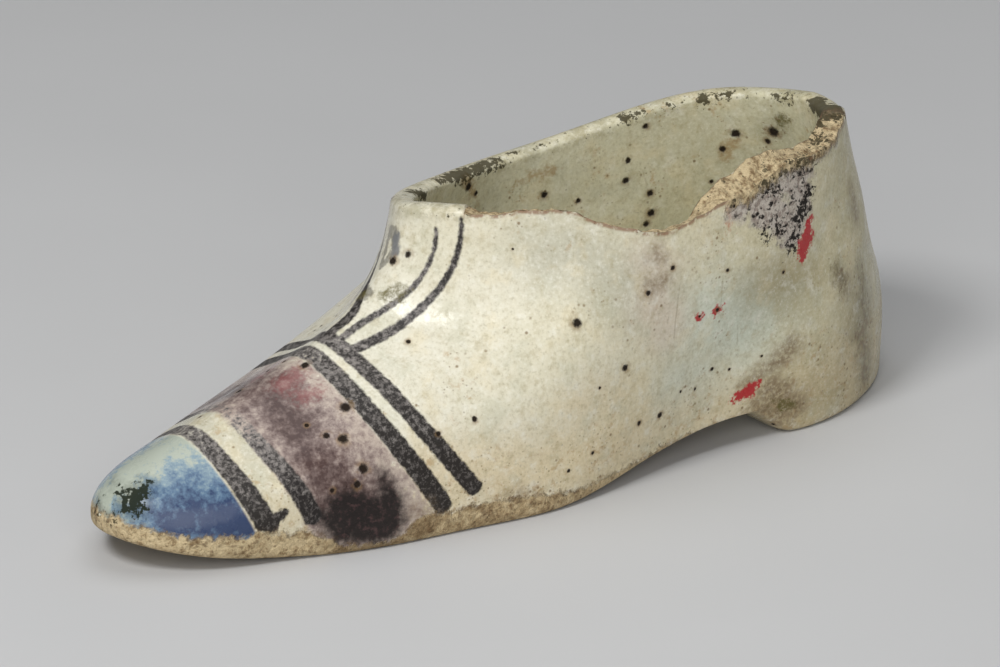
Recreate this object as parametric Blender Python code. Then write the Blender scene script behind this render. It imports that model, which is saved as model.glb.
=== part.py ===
"""Small pottery shoe: a hollow pressed upper with a broken collar, a sole slab and a low heel.

The shoe stands on z = 0 with its toe towards -Y and its broken side towards +X.
Sizes here are in millimetres, and they become metres as each mesh is made.
"""

import math
from collections import namedtuple

import bmesh
import bpy
import numpy as np

MM = 0.001

# Driving dimensions
LENGTH = 105.0            # heel back to toe tip
BALL_WIDTH = 36.4         # across the sole at the ball
WALL = 2.6                # pressed clay wall of the upper
LIP = 0.7                 # height of the softened rim
LIP_INSET = 0.24          # share of the wall that the rim softens on each side
SOLE_THICKNESS = 2.2
HEEL_HEIGHT = 3.6
JOINT = 0.3               # slip joint between two pieces

# Sole line, places as shares of the length from the heel back
TOE_SPRING = 3.6
SPRING_START = 0.78
ARCH_START = 0.56
ARCH_END = 0.26
BREAST_FOOT = 0.225       # front of the heel on the floor
BREAST_TOP = 0.275        # front of the heel under the sole
HEEL_ROUND = 0.7          # worn lower edge of the heel

# Sideways curve of the toe
TOE_SWING = 1.6
SWING_START = 0.40

# Collar
COLLAR_LENGTH = 57.8
COLLAR_WIDTH = 35.8
COLLAR_CENTRE = 0.3455    # share of the length from the heel back
COLLAR_FRONT_Z = 32.0
COLLAR_BACK_Z = 35.6
COLLAR_DIP = 3.2          # sag of each side between front and back
COLLAR_TAIL = 2.6         # drop round the very back
TAIL_START = 0.8          # share of the collar where that drop begins
FRONT_ROUNDNESS = 1.75    # exponents of the oval, 2 for an ellipse
BACK_ROUNDNESS = 2.05
COLLAR_TILT = 0.172       # rise of the collar per unit of width, higher at +X
COLLAR_SHIFT = 0.4        # towards +X

# Each section is one meridian of the last, from the sole up to the collar.
# along: share of the length from the heel back; half: share of half the ball width;
# belly_z, swell: height and outward swell of the wall's belly;
# fill: how far the instep fills the turn, as a share of the way from the neck to the belly;
# turn: degrees round the collar; neck, lean: depth of the neck and its outward lean at the foot.
Section = namedtuple("Section", "name along half belly_z swell fill turn neck lean")
SECTIONS = [
    Section("toe", 1.000, 0.00, 8.0, 2.6, 0.64, 0, 9.9, 1.2),
    Section("shoulder", 0.948, 0.41, 6.1, 2.2, 0.51, 16, 11.0, 0.9),
    Section("fore", 0.805, 0.70, 7.0, 1.6, 0.41, 36, 9.4, 0.8),
    Section("ball", 0.565, 0.99, 9.8, 0.9, 0.28, 62, 7.6, 1.1),
    Section("waist", 0.325, 0.81, 13.2, 2.3, 0.25, 95, 9.2, 0.8),
    Section("seat", 0.185, 0.87, 10.4, 1.8, 0.25, 130, 9.8, 1.5),
    Section("corner", 0.058, 0.57, 10.0, 0.9, 0.25, 156, 9.4, 2.4),
    Section("back", 0.000, 0.00, 9.6, 0.6, 0.25, 180, 9.8, 2.0),
]
PLACES = 2 * (len(SECTIONS) - 1)    # sections right round the shoe, toe at place 0, +X side first
RUN_ON = 1.0                        # how far the last runs on below the sole line, to be trimmed
TILT_SHARES = (0.0, 0.1, 0.6, 0.85, 1.0)    # part of the collar's tilt in each ring of the last

# The broken edge of the collar, clay lost below the old rim at places round the +X side.
Chip = namedtuple("Chip", "place lost")
BROKEN_EDGE = [
    Chip(1.5, 0.0),
    Chip(1.7, 0.4),
    Chip(2.0, 0.4),
    Chip(2.3, 0.1),
    Chip(2.6, 0.2),
    Chip(2.8, 1.5),
    Chip(3.1, 3.1),
    Chip(3.4, 4.4),
    Chip(3.7, 4.4),
    Chip(3.9, 2.6),
    Chip(4.1, 1.5),
    Chip(4.3, 0.9),
    Chip(4.5, 1.2),
    Chip(4.8, 2.4),
    Chip(5.1, 2.5),
    Chip(5.4, 1.6),
    Chip(5.8, 0.7),
    Chip(6.2, 0.9),
    Chip(7.0, 0.0),
]

# Mesh steps
AROUND_STEPS = 84
OUTER_ROWS = 18
INNER_ROWS = 13
TRACE_STEPS = 160         # points along a meridian before it is trimmed
SOLE_STATIONS = 42
HEEL_STEPS = 40
BREAST_STEPS = 8
NUDGE = 0.01              # step for measuring the wall's slope
WELD = 0.01               # points nearer than this are one
CREASE = 40               # degrees between faces that keep a sharp edge


def sole_line(y):
    """Height of the sole's underside: toe spring, flat tread, arch and the seat over the heel."""
    along = -y / LENGTH
    spring = np.clip((along - SPRING_START) / (1 - SPRING_START), 0, None)
    arch = np.clip((ARCH_START - along) / (ARCH_START - ARCH_END), 0, 1)
    return TOE_SPRING * spring**2 + (HEEL_HEIGHT + JOINT) * arch**2 * (3 - 2 * arch)


def collar_point(turn):
    """A point of the unbroken rim, at an angle round the collar from its front."""
    ahead = math.cos(turn)
    aside = math.sin(turn)
    power = 2 / (FRONT_ROUNDNESS if ahead > 0 else BACK_ROUNDNESS)
    ahead = math.copysign(abs(ahead) ** power, ahead)
    aside = math.copysign(abs(aside) ** power, aside)
    back = (1 - ahead) / 2
    tail = max(0.0, (back - TAIL_START) / (1 - TAIL_START))
    z = COLLAR_FRONT_Z + (COLLAR_BACK_Z - COLLAR_FRONT_Z) * back
    z -= COLLAR_DIP * 4 * back * (1 - back) + COLLAR_TAIL * tail**2
    return [COLLAR_WIDTH / 2 * aside, -COLLAR_CENTRE * LENGTH - COLLAR_LENGTH / 2 * ahead, z]


def last_rings():
    """Five rings of control points: sole edge, belly, instep, neck and collar."""
    rows = [(section, 1) for section in SECTIONS]
    rows += [(section, -1) for section in SECTIONS[-2:0:-1]]
    edge = np.array([[side * s.half * BALL_WIDTH / 2, -s.along * LENGTH, 0] for s, side in rows])
    ahead = np.roll(edge, 1, axis=0) - np.roll(edge, -1, axis=0)
    outward = np.stack([-ahead[:, 1], ahead[:, 0], ahead[:, 2]], axis=1)
    outward /= np.linalg.norm(outward, axis=1, keepdims=True)
    belly = edge + outward * np.array([[s.swell] for s, _ in rows])
    belly[:, 2] = [s.belly_z for s, _ in rows]
    front = edge[:, 1] < -SPRING_START * LENGTH
    edge[:, 2] = np.where(front, sole_line(edge[:, 1]), 0) - RUN_ON

    turns = np.radians([side * s.turn for s, side in rows])
    collar = np.array([collar_point(turn) for turn in turns])
    leaning = np.stack([np.sin(turns), -np.cos(turns), np.zeros(PLACES)], axis=1)
    neck = collar + leaning * np.array([[s.lean] for s, _ in rows])
    neck[:, 2] -= [s.neck for s, _ in rows]
    instep = neck + (belly - neck) * np.array([[s.fill] for s, _ in rows])

    rings = np.stack([edge, belly, instep, neck, collar])
    share = np.array(TILT_SHARES)[:, None]
    rings[:, :, 2] += share * COLLAR_TILT * rings[:, :, 0]
    swing = np.clip((-rings[:, :, 1] / LENGTH - SWING_START) / (1 - SWING_START), 0, None)
    rings[:, :, 0] += share * COLLAR_SHIFT + TOE_SWING * swing**2
    return rings


def ring_slopes(ring):
    """Slopes that make a closed cubic curve through a ring's points smooth."""
    unit = np.eye(PLACES)
    system = 4 * unit + np.roll(unit, 1, axis=0) + np.roll(unit, -1, axis=0)
    return np.linalg.solve(system, 3 * (np.roll(ring, -1, axis=0) - np.roll(ring, 1, axis=0)))


RINGS = last_rings()
SLOPES = np.stack([ring_slopes(ring) for ring in RINGS])


def ring_shares(height):
    """Share of each ring at a height from 0 to 1, on a clamped quadratic B-spline."""
    knots = (0, 0, 0, 1, 2, 3, 3, 3)
    x = np.clip(height, 0, np.nextafter(1, 0)) * knots[-1]
    shares = [np.where((low <= x) & (x < high), 1.0, 0.0) for low, high in zip(knots, knots[1:])]
    for degree in (1, 2):
        ramps = [
            (x - low) / (high - low) if high > low else 0 * x
            for low, high in zip(knots, knots[degree:])
        ]
        shares = [
            ramps[i] * shares[i] + (1 - ramps[i + 1]) * shares[i + 1] for i in range(len(shares) - 1)
        ]
    return np.stack(shares)


def last_surface(place, height):
    """Points of the outer last, at places round the shoe and heights from sole edge to collar."""
    low = np.floor(place).astype(int)
    f = (place - low)[..., None]
    here, there = low % PLACES, (low + 1) % PLACES
    rings = (
        (2 * f**3 - 3 * f**2 + 1) * RINGS[:, here]
        + (f**3 - 2 * f**2 + f) * SLOPES[:, here]
        + (3 * f**2 - 2 * f**3) * RINGS[:, there]
        + (f**3 - f**2) * SLOPES[:, there]
    )
    return (ring_shares(height)[..., None] * rings).sum(axis=0)


def wall_traces(places, depth):
    """Each meridian as a line of points from below the sole to the old rim, at a depth in the wall."""
    place, height = np.meshgrid(places, np.linspace(0, 1, TRACE_STEPS))
    points = last_surface(place, height)
    across = last_surface(place + NUDGE, height) - last_surface(place - NUDGE, height)
    upward = last_surface(place, np.minimum(height + NUDGE, 1))
    upward -= last_surface(place, np.maximum(height - NUDGE, 0))
    inward = np.cross(upward, across)
    inward /= np.linalg.norm(inward, axis=-1, keepdims=True)
    return points + depth * inward


def resample(trace, start, stop, rows):
    """A trace cut at two shares of its points and divided into even rows."""
    index = np.arange(len(trace))
    cut = np.linspace(start, stop, len(trace))
    kept = np.stack([np.interp(cut, index, axis) for axis in trace.T], axis=1)
    run = np.concatenate([[0], np.cumsum(np.linalg.norm(np.diff(kept, axis=0), axis=1))])
    even = np.linspace(0, run[-1], rows)
    return np.stack([np.interp(even, run, axis) for axis in kept.T], axis=1)


def wall_skin(places, depth, rows):
    """The wall at a depth, trimmed to the sole below and to the broken edge above."""
    chip_places, lost = zip(*BROKEN_EDGE)
    rim = last_surface(places, np.ones_like(places))[:, 2]
    rim -= np.interp(places, chip_places, lost) + LIP
    traces = wall_traces(places, depth)
    columns = []
    for column, top in enumerate(rim):
        trace = traces[:, column]
        above_sole = trace[:, 2] - sole_line(trace[:, 1]) - SOLE_THICKNESS - JOINT
        index = np.arange(TRACE_STEPS)
        start = np.interp(0, above_sole, index)
        stop = np.interp(top, trace[:, 2], index)
        columns.append(resample(trace, start, stop, rows))
    return np.stack(columns, axis=1)


def upper_points():
    """The wall as a closed band: up the outside, over the rim, down the inside and back."""
    places = np.linspace(0, PLACES, AROUND_STEPS + 1)
    outer = wall_skin(places, 0, OUTER_ROWS)
    inner = wall_skin(places, WALL, INNER_ROWS)
    across = (inner[-1:] - outer[-1:]) * LIP_INSET
    raised = np.array([0, 0, LIP])
    lip = [outer[-1:] + across + raised, inner[-1:] - across + raised]
    return np.concatenate([outer, *lip, inner[::-1], outer[:1]])


def side_line(places, level):
    """Where each meridian crosses a level, a function that gives a height at each y."""
    traces = wall_traces(places, 0)
    above = traces[..., 2] - level(traces[..., 1])
    index = np.arange(TRACE_STEPS)
    line = np.stack([
        [np.interp(np.interp(0, above[:, i], index), index, axis) for axis in traces[:, i].T]
        for i in range(len(places))
    ])
    line[:, 2] = level(line[:, 1])
    return line


def sole_points():
    """The slab as a band round its section, at stations from the toe to the heel."""
    right = np.linspace(0, PLACES / 2, SOLE_STATIONS + 1)
    left = PLACES - right

    def sole_top(y):
        return sole_line(y) + SOLE_THICKNESS

    corners = [(left, sole_line), (right, sole_line), (right, sole_top), (left, sole_top)]
    lines = [side_line(places, level) for places, level in corners]
    return np.stack(lines + lines[:1])


def heel_ring(z, breast, inset):
    """The D-shaped outline of the heel at a height, closed by its straight breast."""

    def flat(y):
        return np.full_like(y, z)

    half = np.linspace(0, PLACES / 2, TRACE_STEPS)
    along = -side_line(half, flat)[:, 1] / LENGTH
    start = np.interp(breast, along[::-1], half[::-1])
    arc = side_line(np.linspace(start, PLACES - start, HEEL_STEPS + 1), flat)
    share = np.linspace(0, 1, BREAST_STEPS + 1)[1:, None]
    ring = np.concatenate([arc, arc[-1] + (arc[0] - arc[-1]) * share])
    centre = ring.mean(axis=0)
    reach = np.linalg.norm(ring - centre, axis=1, keepdims=True)
    return centre + (ring - centre) * (1 - inset / reach)


def heel_points():
    """The block as a band from the middle of its foot, round its side, to the middle of its top."""
    rise = (BREAST_TOP - BREAST_FOOT) / HEEL_HEIGHT
    foot = heel_ring(0.0, BREAST_FOOT, HEEL_ROUND)
    edge = heel_ring(HEEL_ROUND, BREAST_FOOT + rise * HEEL_ROUND, 0)
    top = heel_ring(HEEL_HEIGHT, BREAST_TOP, 0)
    foot_middle = np.broadcast_to(foot.mean(axis=0), foot.shape)
    top_middle = np.broadcast_to(top.mean(axis=0), top.shape)
    return np.stack([foot_middle, foot, edge, top, top_middle])


def glaze(name, colour, roughness):
    """A plain fired finish."""
    material = bpy.data.materials.new(name)
    material.use_nodes = True
    shader = material.node_tree.nodes["Principled BSDF"]
    shader.inputs["Base Color"].default_value = (*colour, 1)
    shader.inputs["Roughness"].default_value = roughness
    shader.inputs["Metallic"].default_value = 0
    return material


def solid_from_grid(name, points, material, collection):
    """A grid bent to rows of points and welded where its edges and ends meet."""
    rows, columns = points.shape[0] - 1, points.shape[1] - 1
    shape = bmesh.new()
    bmesh.ops.create_grid(shape, x_segments=columns, y_segments=rows, size=0.5)
    for vert in shape.verts:
        column = round((vert.co.x + 0.5) * columns)
        row = round((vert.co.y + 0.5) * rows)
        vert.co = points[row, column] * MM
    bmesh.ops.remove_doubles(shape, verts=shape.verts, dist=WELD * MM)
    bmesh.ops.recalc_face_normals(shape, faces=shape.faces)
    mesh = bpy.data.meshes.new(name)
    shape.to_mesh(mesh)
    shape.free()
    mesh.materials.append(material)
    mesh.shade_smooth()
    mesh.set_sharp_from_angle(angle=math.radians(CREASE))
    collection.objects.link(bpy.data.objects.new(name, mesh))


def main():
    for item in list(bpy.data.objects):
        bpy.data.objects.remove(item)
    shoe = bpy.data.collections.new("pottery_shoe")
    bpy.context.scene.collection.children.link(shoe)
    cream_glaze = glaze("cream_glaze", (0.62, 0.59, 0.43), 0.25)
    stained_glaze = glaze("stained_glaze", (0.50, 0.47, 0.32), 0.35)
    bare_clay = glaze("bare_clay", (0.42, 0.31, 0.17), 0.85)

    pieces = {
        "upper": (upper_points(), cream_glaze),
        "sole": (sole_points(), bare_clay),
        "heel": (heel_points(), stained_glaze),
    }
    everything = np.concatenate([points.reshape(-1, 3) for points, _ in pieces.values()])
    middle = (everything.min(axis=0) + everything.max(axis=0)) / 2
    middle[2] = 0
    for name, (points, material) in pieces.items():
        solid_from_grid(name, points - middle, material, shoe)


main()
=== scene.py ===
# %% [markdown]
# # A small pottery shoe, pressed, painted and glazed
#
# The real object is an ornament about as long as a hand is wide. A potter pressed its hollow upper from a
# white frit body, closed it with a slab for a sole and a low block for a heel, painted bands over the toe
# and lines down the throat, dipped it in a cream glaze and fired it. Later the collar broke on one side.
#
# This lesson dresses the three solids of the part. The frame gives their places, and every new mesh is
# worked out from the same last, so that nothing is moved or resized.

# %% Load the frame
import math
import random
from collections import namedtuple

import bmesh
import bpy
import numpy as np
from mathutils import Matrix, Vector, noise
from mathutils.bvhtree import BVHTree


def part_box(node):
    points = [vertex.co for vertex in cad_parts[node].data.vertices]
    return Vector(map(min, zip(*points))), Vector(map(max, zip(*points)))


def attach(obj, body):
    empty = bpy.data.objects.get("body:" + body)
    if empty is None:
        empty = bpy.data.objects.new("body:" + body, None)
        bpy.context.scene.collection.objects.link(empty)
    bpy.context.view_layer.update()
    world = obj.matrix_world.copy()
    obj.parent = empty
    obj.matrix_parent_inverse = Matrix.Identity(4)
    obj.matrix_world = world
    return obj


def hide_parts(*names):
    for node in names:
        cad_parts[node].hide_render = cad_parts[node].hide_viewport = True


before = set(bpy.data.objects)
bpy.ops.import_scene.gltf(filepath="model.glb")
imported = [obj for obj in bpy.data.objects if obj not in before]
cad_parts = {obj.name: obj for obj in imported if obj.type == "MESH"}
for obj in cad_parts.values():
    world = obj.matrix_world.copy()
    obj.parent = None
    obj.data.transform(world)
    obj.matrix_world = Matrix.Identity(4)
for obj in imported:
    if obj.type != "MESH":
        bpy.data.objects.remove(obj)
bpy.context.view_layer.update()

MM = 0.001
print("pieces to dress:", ", ".join(sorted(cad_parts)))

# %% [markdown]
# ## The last
#
# A last is the form that gives a shoe its shape. Here it is a smooth surface through five rings of points:
# sole edge, belly, instep, neck and collar. It could be sculpted as a subdivision cage, but a short table
# with one row for each section keeps the true sizes, and any point of the wall can be asked for by its
# place round the shoe and its height.

# %% Sizes of the last, in millimetres
LENGTH = 105.0            # heel back to toe tip
BALL_WIDTH = 36.4         # across the sole at the ball
WALL = 2.6                # pressed clay wall
SOLE_THICKNESS = 2.2
HEEL_HEIGHT = 3.6
JOINT = 0.3               # slip joint between two pieces, filled here

TOE_SPRING = 3.6
SPRING_START = 0.78       # shares of the length from the heel back
ARCH_START = 0.56
ARCH_END = 0.26
BREAST_FOOT = 0.225       # front of the heel on the floor
BREAST_TOP = 0.275        # front of the heel under the sole
TOE_SWING = 1.6           # sideways curve of the toe
SWING_START = 0.40

COLLAR_LENGTH = 57.8
COLLAR_WIDTH = 35.8
COLLAR_CENTRE = 0.3455
COLLAR_FRONT_Z = 32.0
COLLAR_BACK_Z = 35.6
COLLAR_DIP = 3.2          # sag of each side between front and back
COLLAR_TAIL = 2.6         # drop round the very back
TAIL_START = 0.8
FRONT_ROUNDNESS = 1.75    # exponents of the oval, 2 for an ellipse
BACK_ROUNDNESS = 2.05
COLLAR_TILT = 0.172       # rise per unit of width, higher at +X
COLLAR_SHIFT = 0.4

# along, half: place of the sole edge; belly_z, swell: height and outward swell of the belly;
# fill: how full the instep is; turn: degrees round the collar; neck, lean: depth and lean of the neck
Section = namedtuple("Section", "name along half belly_z swell fill turn neck lean")
SECTIONS = [
    Section("toe", 1.000, 0.00, 8.0, 2.6, 0.64, 0, 9.9, 1.2),
    Section("shoulder", 0.948, 0.41, 6.1, 2.2, 0.51, 16, 11.0, 0.9),
    Section("fore", 0.805, 0.70, 7.0, 1.6, 0.41, 36, 9.4, 0.8),
    Section("ball", 0.565, 0.99, 9.8, 0.9, 0.28, 62, 7.6, 1.1),
    Section("waist", 0.325, 0.81, 13.2, 2.3, 0.25, 95, 9.2, 0.8),
    Section("seat", 0.185, 0.87, 10.4, 1.8, 0.25, 130, 9.8, 1.5),
    Section("corner", 0.058, 0.57, 10.0, 0.9, 0.25, 156, 9.4, 2.4),
    Section("back", 0.000, 0.00, 9.6, 0.6, 0.25, 180, 9.8, 2.0),
]
PLACES = 2 * (len(SECTIONS) - 1)    # sections right round, toe at place 0, +X side first
RUN_ON = 1.0                        # how far the last runs on below the sole line
TILT_SHARES = (0.0, 0.1, 0.6, 0.85, 1.0)
print("sections round the last:", PLACES)


# %% Rings of the last
def sole_line(y):
    """Height of the sole's underside: toe spring, flat tread, arch and the seat over the heel."""
    along = -y / LENGTH
    spring = np.clip((along - SPRING_START) / (1 - SPRING_START), 0, None)
    arch = np.clip((ARCH_START - along) / (ARCH_START - ARCH_END), 0, 1)
    return TOE_SPRING * spring**2 + (HEEL_HEIGHT + JOINT) * arch**2 * (3 - 2 * arch)


def toe_swing(y):
    """Sideways shift of the middle line towards the toe."""
    return TOE_SWING * np.clip((-y / LENGTH - SWING_START) / (1 - SWING_START), 0, None) ** 2


def collar_point(turn):
    """A point of the unbroken rim, at an angle round the collar from its front."""
    ahead = math.cos(turn)
    aside = math.sin(turn)
    power = 2 / (FRONT_ROUNDNESS if ahead > 0 else BACK_ROUNDNESS)
    ahead = math.copysign(abs(ahead) ** power, ahead)
    aside = math.copysign(abs(aside) ** power, aside)
    back = (1 - ahead) / 2
    tail = max(0.0, (back - TAIL_START) / (1 - TAIL_START))
    z = COLLAR_FRONT_Z + (COLLAR_BACK_Z - COLLAR_FRONT_Z) * back
    z -= COLLAR_DIP * 4 * back * (1 - back) + COLLAR_TAIL * tail**2
    return [COLLAR_WIDTH / 2 * aside, -COLLAR_CENTRE * LENGTH - COLLAR_LENGTH / 2 * ahead, z]


def last_rings():
    """Five rings of control points: sole edge, belly, instep, neck and collar."""
    rows = [(section, 1) for section in SECTIONS]
    rows += [(section, -1) for section in SECTIONS[-2:0:-1]]
    edge = np.array([[side * s.half * BALL_WIDTH / 2, -s.along * LENGTH, 0] for s, side in rows])
    ahead = np.roll(edge, 1, axis=0) - np.roll(edge, -1, axis=0)
    outward = np.stack([-ahead[:, 1], ahead[:, 0], ahead[:, 2]], axis=1)
    outward /= np.linalg.norm(outward, axis=1, keepdims=True)
    belly = edge + outward * np.array([[s.swell] for s, _ in rows])
    belly[:, 2] = [s.belly_z for s, _ in rows]
    front = edge[:, 1] < -SPRING_START * LENGTH
    edge[:, 2] = np.where(front, sole_line(edge[:, 1]), 0) - RUN_ON

    turns = np.radians([side * s.turn for s, side in rows])
    collar = np.array([collar_point(turn) for turn in turns])
    leaning = np.stack([np.sin(turns), -np.cos(turns), np.zeros(PLACES)], axis=1)
    neck = collar + leaning * np.array([[s.lean] for s, _ in rows])
    neck[:, 2] -= [s.neck for s, _ in rows]
    instep = neck + (belly - neck) * np.array([[s.fill] for s, _ in rows])

    rings = np.stack([edge, belly, instep, neck, collar])
    share = np.array(TILT_SHARES)[:, None]
    rings[:, :, 2] += share * COLLAR_TILT * rings[:, :, 0]
    rings[:, :, 0] += share * COLLAR_SHIFT + toe_swing(rings[:, :, 1])
    return rings


def ring_slopes(ring):
    """Slopes that make a closed cubic curve through a ring's points smooth."""
    unit = np.eye(PLACES)
    system = 4 * unit + np.roll(unit, 1, axis=0) + np.roll(unit, -1, axis=0)
    return np.linalg.solve(system, 3 * (np.roll(ring, -1, axis=0) - np.roll(ring, 1, axis=0)))


RINGS = last_rings()
SLOPES = np.stack([ring_slopes(ring) for ring in RINGS])
print("control points:", RINGS.shape[0] * RINGS.shape[1])


# %% Surface of the last
def ring_shares(height):
    """Share of each ring at a height from 0 to 1, on a clamped quadratic B-spline."""
    knots = (0, 0, 0, 1, 2, 3, 3, 3)
    x = np.clip(height, 0, np.nextafter(1, 0)) * knots[-1]
    shares = [np.where((low <= x) & (x < high), 1.0, 0.0) for low, high in zip(knots, knots[1:])]
    for degree in (1, 2):
        ramps = [
            (x - low) / (high - low) if high > low else 0 * x
            for low, high in zip(knots, knots[degree:])
        ]
        shares = [
            ramps[i] * shares[i] + (1 - ramps[i + 1]) * shares[i + 1] for i in range(len(shares) - 1)
        ]
    return np.stack(shares)


def last_surface(place, height):
    """Points of the outer last, at places round the shoe and heights from sole edge to collar."""
    low = np.floor(place).astype(int)
    f = (place - low)[..., None]
    here, there = low % PLACES, (low + 1) % PLACES
    rings = (
        (2 * f**3 - 3 * f**2 + 1) * RINGS[:, here]
        + (f**3 - 2 * f**2 + f) * SLOPES[:, here]
        + (3 * f**2 - 2 * f**3) * RINGS[:, there]
        + (f**3 - f**2) * SLOPES[:, there]
    )
    return (ring_shares(height)[..., None] * rings).sum(axis=0)


print("throat of the last:", last_surface(np.array(0.0), np.array(1.0)).round(1), "mm")

# %% [markdown]
# ## A wall pressed by hand
#
# Clay pressed into a mould by hand is never quite even. A noise texture on a Displace modifier could do
# this, but the pieces have to stay flush where they meet. So a few long waves, a function of position
# alone, are added to the last itself, and every piece that is cut from it has the same swells. Their seed
# isn't any seed: many were tried, and this one brings the outline nearest to the photograph's.

# %% Uneven wall
SWELL_LENGTHS = (34.0, 29.0, 24.0, 20.0, 16.0, 13.0)
SWELL_HEIGHT = 0.085
TRACE_STEPS = 160         # points along a meridian before it is trimmed
NUDGE = 0.01              # step for measuring the wall's slope
SWELL_SEED = 4762         # picked by a search, to fit the photograph's outline

chance = random.Random(SWELL_SEED)
swells = []
for length in SWELL_LENGTHS:
    heading = Vector([chance.gauss(0, 1) for _ in range(3)]).normalized()
    swells.append((np.array(heading) * 2 * math.pi / length, chance.uniform(0, 2 * math.pi)))


def hand_pressed(points):
    """How far the hand left the wall proud of the last, in millimetres."""
    return SWELL_HEIGHT * sum(np.sin(points @ heading + phase) for heading, phase in swells)


def wall_traces(places, depth):
    """Each meridian as a line of points from below the sole to the old rim, at a depth in the wall."""
    place, height = np.meshgrid(places, np.linspace(0, 1, TRACE_STEPS))
    points = last_surface(place, height)
    across = last_surface(place + NUDGE, height) - last_surface(place - NUDGE, height)
    upward = last_surface(place, np.minimum(height + NUDGE, 1))
    upward -= last_surface(place, np.maximum(height - NUDGE, 0))
    inward = np.cross(upward, across)
    inward /= np.linalg.norm(inward, axis=-1, keepdims=True)
    return points + (depth - hand_pressed(points))[..., None] * inward


def side_ring(places, level):
    """Where each meridian crosses a level, a function that gives a height at each y."""
    traces = wall_traces(places, 0)
    above = traces[..., 2] - level(traces[..., 1])
    index = np.arange(TRACE_STEPS)
    ring = np.stack([
        [np.interp(np.interp(0, above[:, i], index), index, axis) for axis in traces[:, i].T]
        for i in range(len(places))
    ])
    ring[:, 2] = level(ring[:, 1])
    return ring


print("swells:", len(swells), "waves of up to", SWELL_HEIGHT, "mm each")

# %% [markdown]
# ## The broken collar
#
# Most of the rim is a soft, glazed lip. On one side the collar has broken away, and the break shows the
# buff body. A boolean with a rough cutter would leave ragged triangles, so the break is made in the rim's
# own rows: a short table says how much clay is lost at each face of the wall, and seeded noise along the
# rim roughens both of its edges.

# %% The break
LIP = 0.7                 # height of the rounded lip
BREAK_RAMP = 0.05         # places over which the lip gives way to the break at the front
BREAK_FADE = 0.55         # and at the back, where the break is worn and runs out

# outer, inner: clay gone below the old rim at the two faces of the wall
Chip = namedtuple("Chip", "place outer inner")
BROKEN_EDGE = [
    Chip(1.50, 0.0, 0.0),
    Chip(1.56, 0.35, 0.7),
    Chip(1.70, 0.5, 1.1),
    Chip(2.02, 0.4, 1.2),
    Chip(2.28, 0.05, 1.0),
    Chip(2.52, 0.0, 1.0),
    Chip(2.69, 0.5, 1.5),
    Chip(2.82, 1.65, 2.4),
    Chip(2.96, 2.3, 3.1),
    Chip(3.09, 3.0, 3.7),
    Chip(3.25, 3.8, 4.4),
    Chip(3.43, 4.4, 4.9),
    Chip(3.62, 3.95, 5.0),
    Chip(3.73, 3.6, 4.8),
    Chip(3.81, 3.45, 3.5),
    Chip(3.93, 2.9, 2.4),
    Chip(4.04, 2.7, 1.45),
    Chip(4.14, 3.0, 1.3),
    Chip(4.28, 2.4, 0.6),
    Chip(4.50, 2.0, 1.1),
    Chip(4.74, 2.6, 2.25),
    Chip(5.00, 2.9, 2.6),
    Chip(5.30, 2.1, 1.8),
    Chip(5.60, 1.1, 0.9),
    Chip(5.90, 0.6, 0.6),
    Chip(6.20, 0.9, 0.9),
    Chip(7.00, 0.0, 0.0),
]
BREAK_END = 5.85          # place where the lip is whole again
# size along the rim and height of the bites that the break takes, in millimetres
BITES = ((5.0, 0.30), (2.1, 0.22), (0.9, 0.14))
OUTER_SEED, INNER_SEED = 1.5, 8.5   # where in the noise each edge of the break is read


def run_along(line):
    """Distance along a line of points, at each of them."""
    return np.concatenate([[0], np.cumsum(np.linalg.norm(np.diff(line, axis=0), axis=1))])


def bites(run, seed):
    """Ragged height of a broken edge, at distances along it."""
    heights = np.zeros_like(run)
    for size, height in BITES:
        heights += height * np.array([noise.noise(Vector((r / size, seed, size))) for r in run])
    return heights


def rim_edges(places):
    """Heights of the outer and inner edge of the rim at each place, and whether it is broken there."""
    chip_places, outer_lost, inner_lost = np.array(BROKEN_EDGE).T
    rim = last_surface(places, np.ones_like(places))
    run = run_along(rim)
    ends = np.minimum((places - chip_places[0]) / BREAK_RAMP, (BREAK_END - places) / BREAK_FADE)
    broken = np.clip(ends, 0, 1)
    top = rim[:, 2] - LIP * (1 - broken)
    outer = top - np.interp(places, chip_places, outer_lost) + broken * bites(run, OUTER_SEED)
    inner = top - np.interp(places, chip_places, inner_lost) + broken * bites(run, INNER_SEED)
    return outer, inner, broken


print("clay lost at the deepest chip:", max(chip.inner for chip in BROKEN_EDGE), "mm")

# %% [markdown]
# ## The upper
#
# The upper is one hollow wall, open at the collar and underneath. It is made as a grid that is rolled into
# a band: up the outside, over the lip, down the inside and back to the start. Bending a grid with
# create_grid keeps every face a quad, and rows and columns stay known, so that each point can carry what
# the finish needs to know: whether it is inside, on the break, or near the rim.

# %% Rows of the upper
AROUND_STEPS = 560
OUTER_ROWS = 112
LIP_ROWS = 9
INNER_ROWS = 44
GRAIN = 0.26              # roughness of the break across the wall
GRAINS = ((1.1, 1.0), (2.7, 0.6))   # grains to a millimetre, and their share of the roughness
BREAK_EDGE = 0.4          # how much of the break shows on the rows beside it


def evenly(line, count):
    """A line divided into points at an even spacing."""
    run = run_along(line)
    even = np.linspace(0, run[-1], count)
    return np.stack([np.interp(even, run, axis) for axis in line.T], axis=1)


def resample(trace, start, stop, rows):
    """A trace cut at two shares of its points and divided into even rows."""
    index = np.arange(len(trace))
    cut = np.linspace(start, stop, len(trace))
    return evenly(np.stack([np.interp(cut, index, axis) for axis in trace.T], axis=1), rows)


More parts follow.
